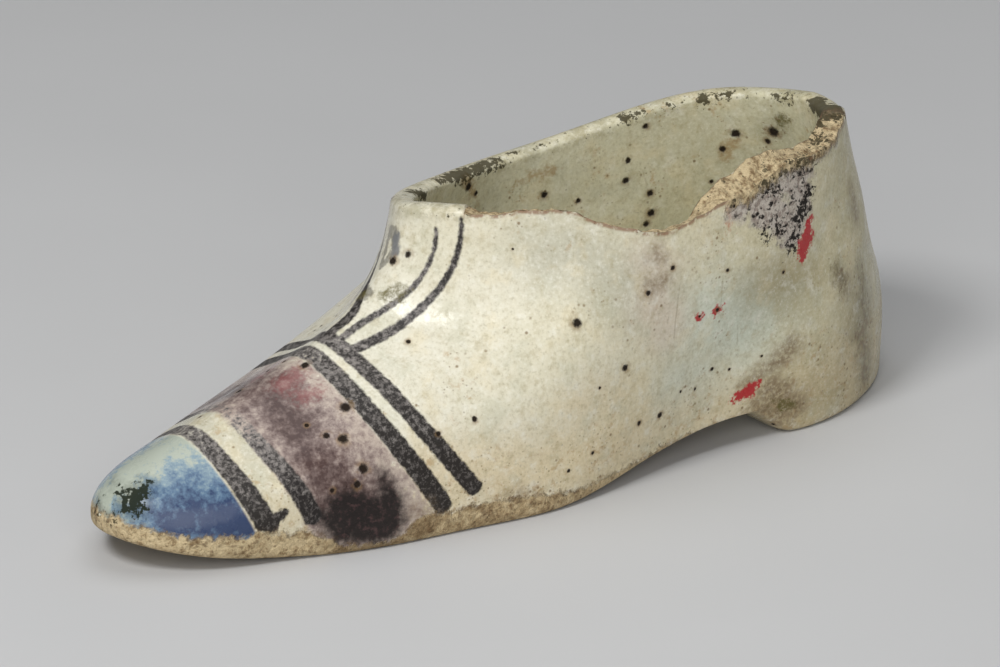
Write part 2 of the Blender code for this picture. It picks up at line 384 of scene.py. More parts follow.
def wall_skin(places, depth, tops, rows):
    """The wall at a depth, from the joint with the sole up to a height at each place."""
    traces = wall_traces(places, depth)
    index = np.arange(TRACE_STEPS)
    columns = []
    for column, top in enumerate(tops):
        trace = traces[:, column]
        above_sole = trace[:, 2] - sole_line(trace[:, 1]) - SOLE_THICKNESS - JOINT / 2
        start = np.interp(0, above_sole, index)
        stop = np.interp(top, trace[:, 2], index)
        columns.append(resample(trace, start, stop, rows))
    return np.stack(columns, axis=1)


def lip_row(outer, inner, broken, share):
    """One row over the rim: round where it is whole, flat and granular where it is broken."""
    turn = math.pi * share
    whole = outer + (inner - outer) * (1 - math.cos(turn)) / 2
    whole[:, 2] += LIP * math.sin(turn)
    rough = outer + (inner - outer) * share
    grains = [sum(share * noise.noise(Vector(p) * fine) for fine, share in GRAINS) for p in rough]
    rough[:, 2] += GRAIN * np.array(grains)
    return whole + (rough - whole) * broken[:, None]


def upper_rows():
    """Points of the closed band, and what the finish has to know at each of them."""
    places = np.linspace(0, PLACES, AROUND_STEPS + 1)
    outer_top, inner_top, broken = rim_edges(places)
    outer = wall_skin(places, 0, outer_top, OUTER_ROWS)
    inner = wall_skin(places, WALL, inner_top, INNER_ROWS)[::-1]
    shares = np.linspace(0, 1, LIP_ROWS + 2)[1:-1]
    lip = np.stack([lip_row(outer[-1], inner[0], broken, share) for share in shares])
    points = np.concatenate([outer, lip, inner, outer[:1]])

    first, last = OUTER_ROWS, OUTER_ROWS + LIP_ROWS
    row = np.arange(len(points))[:, None]
    known = {
        "inside": np.clip((row - first + 1) / (LIP_ROWS + 1), 0, 1) + 0 * points[..., 0],
        "break_face": broken * np.where((row >= first) & (row < last), 1, 0)
        + BREAK_EDGE * broken * np.where((row == first - 1) | (row == last), 1, 0),
        "from_rim": np.concatenate([
            np.linalg.norm(outer - outer[-1], axis=-1), 0 * lip[..., 0],
            np.linalg.norm(inner - inner[0], axis=-1), 0 * lip[:1, :, 0],
        ]),
        "broken": broken + 0 * points[..., 0],
        "under": 0 * points[..., 0],
    }
    known["inside"][-1] = 0
    return points, known


# %% [markdown]
# ## Bending a grid into a closed solid
#
# Every piece here is a bent grid. The helper makes the grid, moves each vertex to its row and column, welds
# the edges where the band closes, and turns the faces outward. The float layers keep what each point knows.

# %% Grid helper
WELD = 0.004              # points nearer than this, in millimetres, are one
CREASE = 38               # degrees between faces that keep a sharp edge


def bend_grid(name, points, known):
    """A piece made from a grid bent to rows of points, in millimetres, with values kept at each point."""
    rows, columns = points.shape[0] - 1, points.shape[1] - 1
    shape = bmesh.new()
    bmesh.ops.create_grid(shape, x_segments=columns, y_segments=rows, size=0.5)
    layers = {key: shape.verts.layers.float.new(key) for key in known}
    for vert in shape.verts:
        column = round((vert.co.x + 0.5) * columns)
        row = round((vert.co.y + 0.5) * rows)
        vert.co = points[row, column] * MM
        for key, layer in layers.items():
            vert[layer] = known[key][row, column]
    bmesh.ops.remove_doubles(shape, verts=shape.verts, dist=WELD * MM)
    bmesh.ops.recalc_face_normals(shape, faces=shape.faces)
    mesh = bpy.data.meshes.new(name)
    shape.to_mesh(mesh)
    shape.free()
    mesh.shade_smooth()
    mesh.set_sharp_from_angle(angle=math.radians(CREASE))
    piece = bpy.data.objects.new(name, mesh)
    bpy.context.scene.collection.objects.link(piece)
    return piece


# %% [markdown]
# ## The last in the frame
#
# The last is drawn with its heel back at zero, and the part has its origin under the middle of its box.
# The sole's outline is asked for once in the last's own frame, and the CAD sole's box says how far to move.

# %% Shift to the part's frame
outline = side_ring(np.linspace(0, PLACES, 8 * PLACES + 1), sole_line)
drawn_middle = (outline.min(axis=0) + outline.max(axis=0)) / 2
sole_low, sole_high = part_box("sole")
packed_middle = np.array((sole_low + sole_high) / 2) / MM
SHIFT = packed_middle - drawn_middle
SHIFT[2] = 0
print("shift from the last to the part:", SHIFT.round(2), "mm")

# %% Make the upper
points, known = upper_rows()
upper = bend_grid("painted_upper", points + SHIFT, known)
print(upper.name, "has", len(upper.data.polygons), "faces")

# %% [markdown]
# ## The sole
#
# The sole is a slab with the last's outline, a toe spring and an arch. Its lower edge is worn round, except
# over the heel, where the heel carries the line on. A slab could be extruded from its outline, but its edge
# has to follow the wall above it, so it is a band of lines that are read from the same wall.

# %% Make the sole
SOLE_STATIONS = 230
SOLE_ROUND = 0.75         # radius of the worn lower edge
ROUND_ROWS = 5
EDGE_ROWS = 6
FACE_ROWS = 22            # rows across the underside, and across the insole


def sole_round(y):
    """Radius of the worn edge: none over the heel."""
    return SOLE_ROUND * np.clip((-y / LENGTH - BREAST_TOP) / (ARCH_START - BREAST_TOP) * 2, 0, 1)


def pulled_in(ring, inset):
    """A closed ring moved inward, level with itself."""
    ahead = np.roll(ring[:-1], -1, axis=0) - np.roll(ring[:-1], 1, axis=0)
    inward = np.stack([-ahead[:, 1], ahead[:, 0], 0 * ahead[:, 0]], axis=1)
    inward /= np.linalg.norm(inward, axis=1, keepdims=True)
    inward = np.concatenate([inward, inward[:1]])
    return ring + inward * inset[:, None]


def sole_edge():
    """Rings up the slab's edge, from its underside, round the worn corner, to the joint with the upper."""
    places = np.linspace(0, PLACES, 2 * SOLE_STATIONS + 1)
    rings = []
    for turn in np.linspace(0, math.pi / 2, ROUND_ROWS):

        def level(y, rise=1 - math.cos(turn)):
            return sole_line(y) + sole_round(y) * rise

        ring = side_ring(places, level)
        rings.append(pulled_in(ring, sole_round(ring[:, 1]) * (1 - math.sin(turn))))
    for share in np.linspace(0, 1, EDGE_ROWS + 1)[1:]:

        def level(y, share=share):
            low = sole_round(y)
            return sole_line(y) + low + (SOLE_THICKNESS + JOINT / 2 - low) * share

        rings.append(side_ring(places, level))
    return np.stack(rings)


def across_slab(left, right):
    """Rows between two long edges of the slab, without the edges themselves."""
    shares = np.linspace(0, 1, FACE_ROWS + 2)[1:-1]
    return np.stack([left + (right - left) * share for share in shares])


def away_from_rim(points):
    """What the finish has to know of a piece that has no rim and no break."""
    blank = np.zeros(points.shape[:2])
    values = {"inside": 0, "break_face": 0, "from_rim": LENGTH, "broken": 0, "under": 0}
    return {key: blank + value for key, value in values.items()}


edge = sole_edge()
right = edge[:, : SOLE_STATIONS + 1]
left = edge[:, : SOLE_STATIONS - 1 : -1]
underside = across_slab(left[0], right[0])
insole = across_slab(right[-1], left[-1])
points = np.concatenate([underside, right, insole, left[::-1], underside[:1]])
side_rows, face_rows = len(right), len(insole)
known = away_from_rim(points)
known["inside"][face_rows + side_rows : 2 * face_rows + side_rows] = 1
known["under"][:face_rows] = 1
known["under"][-1] = 1
sole = bend_grid("slab_sole", points + SHIFT, known)
print(sole.name, "has", len(sole.data.polygons), "faces")

# %% [markdown]
# ## The heel
#
# The heel is a low block with a D-shaped outline, pressed on under the seat and glazed over with the rest.
# It is a stack of rings: the middle of its foot, out to a worn lower edge, up its side and in to the middle
# of its top. Averaging each ring with its neighbours a few times rounds the two corners of its breast.

# %% Make the heel
HEEL_STEPS = 130
BREAST_STEPS = 44
HEEL_ROUND = 0.8
CORNER_ROUNDS = 10        # times that a ring is averaged at its corners
HEEL_TOP = HEEL_HEIGHT + JOINT


def heel_ring(z, breast, inset):
    """The D-shaped outline of the heel at a height, closed by its breast."""

    def flat(y):
        return np.full_like(y, z)

    half = np.linspace(0, PLACES / 2, TRACE_STEPS)
    along = -side_ring(half, flat)[:, 1] / LENGTH
    start = np.interp(breast, along[::-1], half[::-1])
    arc = side_ring(np.linspace(start, PLACES - start, HEEL_STEPS + 1), flat)
    share = np.linspace(0, 1, BREAST_STEPS + 1)[1:-1, None]
    ring = np.concatenate([arc, arc[-1] + (arc[0] - arc[-1]) * share])
    for _ in range(CORNER_ROUNDS):
        ring = (np.roll(ring, 1, axis=0) + 2 * ring + np.roll(ring, -1, axis=0)) / 4
    centre = ring.mean(axis=0)
    reach = np.linalg.norm(ring - centre, axis=1, keepdims=True)
    ring = centre + (ring - centre) * (1 - inset / reach)
    return np.concatenate([ring, ring[:1]])


def heel_rows():
    """Rings from the middle of the foot, out and up the side, to the middle of the top."""
    rise = (BREAST_TOP - BREAST_FOOT) / HEEL_TOP
    sides = []
    for turn in np.linspace(0, math.pi / 2, ROUND_ROWS):
        z = HEEL_ROUND * (1 - math.cos(turn))
        sides.append(heel_ring(z, BREAST_FOOT + rise * z, HEEL_ROUND * (1 - math.sin(turn))))
    for z in np.linspace(HEEL_ROUND, HEEL_TOP, 2 * EDGE_ROWS)[1:]:
        sides.append(heel_ring(z, BREAST_FOOT + rise * z, 0))
    foot = [sides[0].mean(axis=0) * (1 - share) + sides[0] * share for share in np.linspace(0, 1, EDGE_ROWS)]
    top = np.broadcast_to(sides[-1].mean(axis=0), sides[-1].shape)
    return np.stack(foot[:-1] + sides + [top])


points = heel_rows()
known = away_from_rim(points)
known["under"][:EDGE_ROWS] = 1
heel = bend_grid("heel_block", points + SHIFT, known)
print(heel.name, "has", len(heel.data.polygons), "faces")

# %% [markdown]
# ## Seating marks
#
# The painted lines, stains and pinholes were made by hand and by chance, so no rule gives their places.
# Each was read from the photograph as a pixel. A ray from the photograph's own eye point then finds
# the spot on the finished wall, so that a mark lies on the clay and holds from any side. The eye point was
# fitted to the outline of the shoe.

# %% The photograph's eye
EYE = np.array((565.3, -415.5, 288.6))      # millimetres, in the part's frame
EYE_TURN = math.radians(51.585)             # round from straight ahead of the toe
EYE_TILT = math.radians(21.144)             # downward
EYE_FOCAL = 4776.0                          # pixels
PHOTO_MIDDLE = (500.0, 333.5)
NEAR_FLANK = (395, 346)                     # a pixel on the near flank, for a first look

forward = np.array((
    -math.sin(EYE_TURN) * math.cos(EYE_TILT), math.cos(EYE_TURN) * math.cos(EYE_TILT), -math.sin(EYE_TILT)
))
rightward = np.array((math.cos(EYE_TURN), math.sin(EYE_TURN), 0))
upward = np.cross(rightward, forward)

pieces = [upper, sole, heel]
depsgraph = bpy.context.evaluated_depsgraph_get()
skins = [BVHTree.FromObject(piece, depsgraph) for piece in pieces]


def seat(pixel):
    """The point of the shoe, in millimetres, that the photograph's eye sees at a pixel."""
    aside = (pixel[0] - PHOTO_MIDDLE[0]) / EYE_FOCAL
    below = (pixel[1] - PHOTO_MIDDLE[1]) / EYE_FOCAL
    ray = forward + rightward * aside - upward * below
    hits = [skin.ray_cast(Vector(EYE * MM), Vector(ray)) for skin in skins]
    hits = [(hit[3], hit[0]) for hit in hits if hit[0] is not None]
    if not hits:
        raise ValueError(f"no clay at pixel {pixel}")
    return np.array(min(hits)[1]) / MM


def seats(pixels):
    """The points of the shoe at several pixels."""
    return np.array([seat(pixel) for pixel in pixels])


def settle(points):
    """Points moved onto the wall of the upper, with the wall's normals there."""
    found = [skins[0].find_nearest(Vector(point * MM)) for point in points]
    return np.array([f[0] for f in found]) / MM, np.array([f[1] for f in found])


def mirrored(points):
    """The same points on the other side of the shoe's middle line."""
    middle = toe_swing(points[:, 1] - SHIFT[1]) + SHIFT[0]
    return np.stack([2 * middle - points[:, 0], points[:, 1], points[:, 2]], axis=1)


print("wall in the middle of the near flank:", seat(NEAR_FLANK).round(1), "mm")


# %% Lines that are smooth and lie on the wall
def softened(points, rounds=3):
    """A line with its corners cut, so that a few listed points make a smooth stroke."""
    for _ in range(rounds):
        early = 0.75 * points[:-1] + 0.25 * points[1:]
        late = 0.25 * points[:-1] + 0.75 * points[1:]
        middle = np.stack([early, late], axis=1).reshape(-1, 3)
        points = np.concatenate([points[:1], middle, points[-1:]])
    return points


def thinned(points, spacing=0.9):
    """A line with points at an even spacing, in millimetres."""
    return evenly(points, max(2, int(run_along(points)[-1] / spacing) + 1))


def stroke_line(points):
    """A brush line through points, on the wall, with the wall's normals."""
    return settle(thinned(softened(points)))


def measure(points, line, normals):
    """For each point: signed distance across a line, distance in from its ends, and share along it."""
    steps = np.diff(line, axis=0)
    sizes = np.linalg.norm(steps, axis=1)
    run = np.concatenate([[0], np.cumsum(sizes)])
    best = np.full(len(points), np.inf)
    across, along = np.zeros(len(points)), np.zeros(len(points))
    for i, (start, step, size) in enumerate(zip(line, steps, sizes)):
        ahead = step / size
        side = np.cross(ahead, normals[i])
        from_start = points - start
        reach = from_start @ ahead
        apart = np.linalg.norm(from_start - np.clip(reach, 0, size)[:, None] * ahead, axis=1)
        low = -np.inf if i == 0 else 0
        high = np.inf if i == len(steps) - 1 else size
        nearer = apart < best
        best[nearer] = apart[nearer]
        away = from_start - np.clip(reach, low, high)[:, None] * ahead
        signed = np.copysign(np.linalg.norm(away, axis=1), away @ side)
        across[nearer] = signed[nearer]
        along[nearer] = run[i] + np.clip(reach, low, high)[nearer]
    inward = np.minimum(along, run[-1] - along)
    return across, inward, np.clip(along / run[-1], 0, 1), best


# %% [markdown]
# ## Brush lines
#
# Four dark lines cross the toe, and two run down each side of the throat. On the real shoe they are brush
# strokes of iron and manganese under the glaze. They could be thin strips of mesh, but paint has no
# thickness, so each stroke is kept at the points of the mesh as a distance: how far across it a point is,
# how far in from its ends, and half its width there. A shader can cut a crisp edge from that.

# %% Strokes read from the photograph
# widths: full width at the start and at the end, in millimetres
# loads: how much paint the brush left at the start, halfway and at the end
Stroke = namedtuple("Stroke", "name widths loads pixels")
BANDS = [
    Stroke("line_1", (1.9, 2.5), (0.35, 0.6, 1.0), [
        (121.5, 423.5), (130, 429), (140, 437.5), (158, 458.5), (172, 477.5), (178.5, 487.5), (181.5, 494),
    ]),
    Stroke("line_2", (1.6, 2.2), (0.0, 0.5, 1.0), [
        (145.5, 405.5), (152, 412.5), (167, 427), (186, 447), (200, 464), (209, 477), (214, 489),
    ]),
    Stroke("line_3", (2.1, 2.2), (0.4, 0.75, 1.0), [
        (198, 368), (218.9, 377.5), (234, 392), (250, 410), (270, 433), (290, 456), (305.8, 479),
    ]),
    Stroke("line_4", (1.8, 1.95), (0.45, 0.7, 1.0), [
        (225.8, 362), (240, 373), (260, 391.5), (280, 413.5), (300, 434.5), (313, 449), (328, 465.5),
    ]),
]
THROAT = [
    Stroke("throat_outer", (0.5, 1.35), (0.75, 0.62, 0.55), [
        (313.6, 273), (313.4, 287), (310.5, 301.5), (305, 314), (294.8, 328.4), (283, 340), (268, 352),
        (252, 361), (237, 367.4),
    ]),
    Stroke("throat_inner", (0.4, 1.0), (0.5, 0.48, 0.52), [
        (296, 280.5), (295.5, 293), (292.5, 304), (286, 315.5), (276.5, 326.7), (268, 333), (255, 341.7),
        (242, 349.3), (227.5, 361.3),
    ]),
]
# On the far side only a short stretch of the inner line shows. Above it, the line starts from points on this
# side, mirrored.
FAR_LINE = Stroke("far_line", (0.4, 1.7), (0.6, 0.7, 0.65), [(243, 336.4), (226, 352), (217, 358)])
FAR_LINE_START = [(305, 277), (301, 302)]
REACH = 4.0               # how far from a stroke its distances matter
RIDGE_CLEAR = 1.2         # points nearer the ridge than this are left to the stroke's own curve
FAR = 99.0


def over_the_ridge(points):
    """A stroke from one foot, over the ridge, to the mirrored foot on the other side."""
    middle = toe_swing(points[:, 1] - SHIFT[1]) + SHIFT[0]
    near = points[points[:, 0] - middle > RIDGE_CLEAR][::-1]
    return np.concatenate([near, mirrored(near)[::-1]])


far_line = np.concatenate([mirrored(seats(FAR_LINE_START)), seats(FAR_LINE.pixels)])
band_lines = {stroke.name: stroke_line(over_the_ridge(seats(stroke.pixels))) for stroke in BANDS}
for name, (line, _) in band_lines.items():
    print(name, "runs over the ridge in", len(line), "points")


# %% Distances from the strokes
def coordinates(piece):
    """The vertices of a piece, in millimetres."""
    flat = np.empty(3 * len(piece.data.vertices), np.float32)
    piece.data.vertices.foreach_get("co", flat)
    return flat.reshape(-1, 3).astype(float) / MM


def kept(piece, name):
    """Values that a piece keeps at its points."""
    values = np.empty(len(piece.data.vertices), np.float32)
    piece.data.attributes[name].data.foreach_get("value", values)
    return values.astype(float)


def keep(piece, name, values):
    """Store a number, or three, at each point of a piece."""
    kind, field = ("FLOAT_VECTOR", "vector") if values.ndim > 1 else ("FLOAT", "value")
    attribute = piece.data.attributes.new(name, kind, "POINT")
    attribute.data.foreach_set(field, values.astype(np.float32).ravel())


def stroke_field(points, line, normals, stroke, from_ridge=False):
    """Across, inward and half width of a stroke at each point, with its load and its distance."""
    across, inward, share, apart = measure(points, line, normals)
    if from_ridge:
        share = np.abs(2 * share - 1)
    half = (stroke.widths[0] + (stroke.widths[1] - stroke.widths[0]) * share) / 2
    load = np.interp(share, (0, 0.5, 1), stroke.loads)
    return np.stack([across, np.minimum(inward, REACH - apart), half], axis=1), load, apart


def nearer_field(one, two):
    """Of two stroke fields, the nearer one at each point."""
    first = one[2] < two[2]
    field = np.where(first[:, None], one[0], two[0])
    return field, np.where(first, one[1], two[1]), np.minimum(one[2], two[2])


for piece in pieces:
    points = coordinates(piece)
    fields = {}
    for stroke in BANDS:
        fields[stroke.name] = stroke_field(points, *band_lines[stroke.name], stroke, True)
    for stroke in THROAT:
        fields[stroke.name] = stroke_field(points, *stroke_line(seats(stroke.pixels)), stroke)
    outer = THROAT[0]
    far_outer = stroke_field(points, *stroke_line(mirrored(seats(outer.pixels))), outer)
    fields[outer.name] = nearer_field(fields[outer.name], far_outer)
    fields[FAR_LINE.name] = stroke_field(points, *stroke_line(far_line), FAR_LINE)
    closest = np.full(len(points), np.inf)
    load = np.zeros(len(points))
    for name, (field, own_load, apart) in fields.items():
        keep(piece, name, field)
        edge = apart - field[:, 2]
        load = np.where(edge < closest, own_load, load)
        closest = np.minimum(edge, closest)
    keep(piece, "ink_load", load)
print("strokes kept on", len(pieces), "pieces")

# %% [markdown]
# ## Patches
#
# Colour was dabbed on in pools, and stains came with age: the purple band, the blue toe, red specks, brown
# smears, crumbs of dirt on the rim and a place where the glaze has flaked off. Each is a path with a radius,
# and each point keeps how deep inside the nearest path of that kind it is. Noise in the shader then gives
# the patch its ragged edge.
# Some patches are painted shade: where the ball meets the floor, and, with stain, at the heel's foot, down
# the back and inside the far wall.

# %% Patches read from the photograph
# radii: at the start and the end of the path, in millimetres; both: also on the other side of the shoe
Patch = namedtuple("Patch", "kind radii both pixels")
PAINT_PATCHES = [
    Patch("purple", (2.8, 3.8), True, [(172, 398), (192, 410), (212, 436)]),
    Patch("purple", (3.8, 3.4), True, [(212, 436), (228, 462), (242, 484)]),
    Patch("plum", (1.6, 2.6), True, [(196, 388), (188, 402), (198, 419)]),
    Patch("plum", (1.8, 2.6), True, [(224, 468), (240, 470), (256, 470)]),
    Patch("plum", (1.0, 1.2), True, [(205, 440), (214, 452), (228, 452)]),
    Patch("plum", (0.7, 0.9), True, [(258, 458), (264, 470)]),
    Patch("bulb", (2.6, 3.0), True, [(236, 480), (250, 488), (260, 486)]),
    Patch("bulb", (0.9, 1.6), True, [(219, 484), (232, 494)]),
    Patch("bulb", (0.6, 1.6), True, [(260, 454), (267, 474)]),
    Patch("crimson", (1.2, 0.9), True, [(190, 392), (200, 384)]),
    Patch("crimson", (0.9, 0.7), True, [(204, 400), (214, 396)]),
    Patch("crimson", (0.45, 0.3), False, [(181, 377), (188, 372.5)]),
    Patch("blue", (9.0, 9.0), True, [(75, 475), (140, 470)]),
    Patch("deep_blue", (2.4, 3.0), True, [(118, 487), (140, 487), (164, 490)]),
    Patch("pale_toe", (1.7, 0.9), True, [(94, 447), (102, 456)]),
    Patch("pale_toe", (0.8, 1.4), True, [(68, 462), (80, 452)]),
    Patch("blot", (0.7, 0.6), True, [(184, 487), (191.5, 482)]),
    Patch("blot", (0.9, 0.8), True, [(180, 490), (184, 492)]),
    Patch("blot", (0.5, 0.8), True, [(180.5, 440), (186, 446)]),
    # Painted shade on the bare clay where the ball meets the floor.
    Patch("soil", (1.6, 2.2), True, [(232, 504.5), (260, 500)]),
    Patch("soil", (2.2, 1.2), True, [(260, 500), (292, 489)]),
    Patch("grey_mark", (0.7, 0.5), False, [(267.6, 288), (267.3, 300)]),
]
AGE_AND_SHADE_PATCHES = [
    Patch("moss", (1.2, 2.2), False, [(93, 464), (86, 474)]),
    Patch("moss", (0.9, 0.7), False, [(60.8, 478.6), (62, 481)]),
    Patch("moss", (0.9, 0.6), False, [(70, 487), (74, 484)]),
    Patch("moss", (0.4, 0.3), False, [(71, 461), (73, 464)]),
    Patch("olive", (0.8, 1.1), False, [(261, 329), (271, 327.5)]),
    Patch("olive", (0.35, 0.45), False, [(242.5, 329.5), (244.5, 328.5)]),
    Patch("olive", (0.7, 0.7), False, [(535, 204), (538, 201)]),
    Patch("olive", (0.6, 0.7), False, [(535, 399), (545, 402)]),
    Patch("red", (0.5, 1.2), False, [(557, 272), (554.8, 285)]),
    Patch("red", (1.2, 0.7), False, [(554.8, 285), (551.5, 298)]),
    Patch("red", (0.5, 0.95), False, [(506, 398), (514, 393)]),
    Patch("red", (0.95, 0.5), False, [(514, 393), (521, 387.5)]),
    Patch("red", (0.48, 0.48), False, [(492.6, 335.6), (494.0, 335.6)]),
    Patch("red", (0.36, 0.36), False, [(480.2, 340.3), (481.4, 340.3)]),
    Patch("rust", (0.45, 0.35), False, [(501, 265), (501.6, 280)]),
    Patch("rust", (0.5, 0.3), False, [(503, 262), (505, 259)]),
    Patch("brown", (1.2, 1.3), False, [(516, 388), (530, 375)]),
    Patch("brown", (1.3, 1.4), False, [(530, 375), (546, 361)]),
    Patch("brown", (2.2, 2.0), False, [(530, 392), (546, 402)]),
    Patch("brown", (1.4, 1.6), False, [(520, 404), (540, 410)]),
    Patch("brown", (0.9, 1.1), False, [(577, 310), (582, 318)]),
    Patch("brown", (0.7, 0.6), False, [(449, 297), (452, 301)]),
    Patch("brown", (0.8, 0.7), False, [(446, 320), (455, 315)]),
    Patch("brown", (0.9, 0.6), False, [(352, 469), (366, 467)]),
    Patch("brown", (0.5, 0.5), False, [(284, 478), (291, 479)]),
    Patch("brown", (0.7, 0.9), False, [(585, 250), (589, 268)]),
    Patch("grey_back", (1.0, 2.0), False, [(592, 306), (597, 342)]),
    Patch("grey_back", (2.2, 2.0), False, [(594, 350), (597, 378)]),
    Patch("grey_back", (0.8, 0.7), False, [(577, 307), (580, 316)]),
    Patch("grey_back", (1.0, 0.8), False, [(528, 210), (535, 207)]),
    Patch("ochre", (0.35, 0.6), False, [(352, 249), (372, 241)]),
    Patch("ochre", (0.6, 0.4), False, [(372, 241), (381, 237)]),
    Patch("ochre", (0.9, 0.7), False, [(316, 247), (322, 254)]),
    Patch("ochre", (0.28, 0.22), False, [(323.4, 257), (323.6, 266)]),
    Patch("ochre", (0.8, 0.7), False, [(502, 218), (497, 229)]),
    Patch("flaked", (1.6, 2.4), False, [(506, 264), (520, 252), (534, 243), (549, 237)]),
    Patch("flaked", (2.4, 1.6), False, [(524, 262), (537, 268), (543, 282)]),
    Patch("flaked", (2.2, 1.6), False, [(548, 246), (551, 264), (547, 280)]),
    Patch("flaked", (0.9, 0.7), False, [(562, 225), (572, 212)]),
    Patch("soot", (0.9, 1.1), False, [(562.5, 214), (565, 226)]),
    Patch("soot", (1.0, 0.9), False, [(557, 229), (548, 236)]),
    Patch("soot", (0.9, 1.3), False, [(556.5, 252), (550, 268)]),
    Patch("soot", (0.9, 0.7), False, [(533, 276), (539, 280)]),
    Patch("soot", (0.6, 0.6), False, [(525, 280), (528, 283)]),
    Patch("soot", (1.0, 0.8), False, [(545, 284), (546, 291)]),
    Patch("soot", (0.7, 0.7), False, [(527, 249), (533, 253)]),
    Patch("crumbs", (0.9, 1.3), False, [(297, 247), (311, 242.5)]),
    Patch("crumbs", (1.3, 1.0), False, [(311, 242.5), (322, 239), (336, 233)]),
    Patch("crumbs", (1.0, 1.0), False, [(278.5, 256), (287, 259)]),
    Patch("crumbs", (0.5, 0.4), False, [(347.5, 229), (351, 227.5)]),
    Patch("crumbs", (0.4, 0.4), False, [(365, 223), (368, 222)]),
    Patch("crumbs", (0.9, 0.7), False, [(427, 202.5), (437, 199)]),
    Patch("crumbs", (0.5, 0.4), False, [(458, 193), (461, 192)]),
    Patch("crumbs", (0.9, 0.8), False, [(481, 188), (486, 186.5)]),
    Patch("crumbs", (0.7, 0.6), False, [(494, 185), (500, 184.2)]),
    Patch("crumbs", (0.7, 0.6), False, [(533, 186.5), (541, 188)]),
    Patch("crumbs", (1.6, 2.0), False, [(559, 190), (570, 196)]),
    Patch("crumbs", (0.9, 0.8), False, [(561, 198), (562, 206)]),
    # Stain and painted shade: darker at the heel's foot, down the back edge, on the back flank and inside
    # the far wall.
    Patch("dull", (4.5, 5.5), False, [(545, 402), (576, 396)]),
    Patch("dull", (3.0, 5.5), False, [(592, 330), (590, 380)]),
    Patch("dull", (4.0, 3.0), False, [(520, 330), (548, 318)]),
    Patch("dull", (5.0, 6.0), False, [(470, 212), (515, 225)]),
    Patch("grey_cream", (3.5, 4.0), False, [(372, 300), (395, 300), (430, 318)]),
    Patch("grey_cream", (2.5, 2.5), True, [(150, 424), (176, 452), (194, 480)]),
    Patch("pool", (4.5, 4.0), False, [(488, 340), (512, 356)]),
    Patch("pool", (2.5, 2.0), False, [(470, 385), (488, 378)]),
    Patch("pink", (3.0, 3.0), False, [(450, 330), (458, 345)]),
    Patch("pink", (2.2, 2.0), False, [(446, 300), (456, 312)]),
    Patch("warm", (4.0, 3.5), False, [(300, 450), (350, 448)]),
    Patch("warm", (3.5, 3.5), False, [(380, 440), (430, 425)]),
    Patch("warm", (2.5, 2.5), False, [(395, 405), (425, 398)]),
]
PATCHES = PAINT_PATCHES + AGE_AND_SHADE_PATCHES
PATCH_REACH = 8.0         # past its radius by this much, a patch has no effect
PATCH_SPACING = 2.0       # between the points of a patch's path
SAME_FACE = 0.6           # a mark reaches this far from its own face of the wall towards the other

# aside, height: millimetres from the throat's middle line, and up from the floor
Mark = namedtuple("Mark", "radii places")
THROAT_MARKS = [
    Mark((0.45, 0.75), [(-1.7, 28.5), (-0.8, 29.0), (0.2, 28.6)]),
    Mark((0.75, 0.40), [(0.2, 28.6), (1.2, 28.4), (1.2, 27.2), (0.1, 25.3)]),
    Mark((0.50, 0.40), [(-1.7, 28.5), (-1.2, 27.0), (0.1, 25.3)]),
    Mark((0.55, 0.75), [(-1.3, 22.7), (-0.1, 23.2), (0.9, 22.8)]),
]


def side_of(point):
    """1 where a seated point lies inside the shoe, and 0 on its outer wall."""
    points = coordinates(upper)
    return round(kept(upper, "inside")[np.argmin(np.linalg.norm(points - point, axis=1))])


def depth_in(points, line, radii):
    """How deep inside a path with a radius each point is, in millimetres."""
    path = thinned(line, PATCH_SPACING)
    reach = max(radii) + PATCH_REACH
    close = np.all((points > path.min(axis=0) - reach) & (points < path.max(axis=0) + reach), axis=1)
    depth = np.full(len(points), -FAR)
    if close.any():
        _, _, share, apart = measure(points[close], path, np.tile(forward, (len(path), 1)))
        depth[close] = radii[0] + (radii[1] - radii[0]) * share - apart
    return depth


def throat_point(aside, height):
    """A point on the front of the throat."""
    start = Vector(((SHIFT[0] + aside) * MM, -LENGTH * MM, height * MM))
    return np.array(skins[0].ray_cast(start, Vector((0, 1, 0)))[0]) / MM


patch_lines = [seats(patch.pixels) for patch in PATCHES]
patch_sides = [side_of(line[0]) for line in patch_lines]
mark_lines = [np.array([throat_point(*place) for place in mark.places]) for mark in THROAT_MARKS]
kinds = sorted({patch.kind for patch in PATCHES})
for piece in pieces:
    points, inside = coordinates(piece), kept(piece, "inside")
    fields = {kind: np.full(len(points), -FAR) for kind in kinds + ["throat_mark"]}
    for patch, line, side in zip(PATCHES, patch_lines, patch_sides):
        depth = depth_in(points, line, patch.radii)
        if patch.both:
            depth = np.maximum(depth, depth_in(points, mirrored(line), patch.radii))
        if patch.kind != "crumbs":
            depth[np.abs(inside - side) > SAME_FACE] = -FAR
        fields[patch.kind] = np.maximum(fields[patch.kind], depth)
    for mark, line in zip(THROAT_MARKS, mark_lines):
        depth = np.where(inside > 0.5, -FAR, depth_in(points, line, mark.radii))
        fields["throat_mark"] = np.maximum(fields["throat_mark"], depth)
    for kind, field in fields.items():
        keep(piece, kind, field)
print("patches:", len(PATCHES), "of", len(kinds), "kinds, and", len(THROAT_MARKS), "throat marks")

# %% [markdown]
# ## Cracks in the glaze
#
# A glaze that shrinks more than its body crazes. A few fine cracks run up the waist and down inside. Each
# is kept as the signed distance to the nearest crack, so that its width can be a hair's.

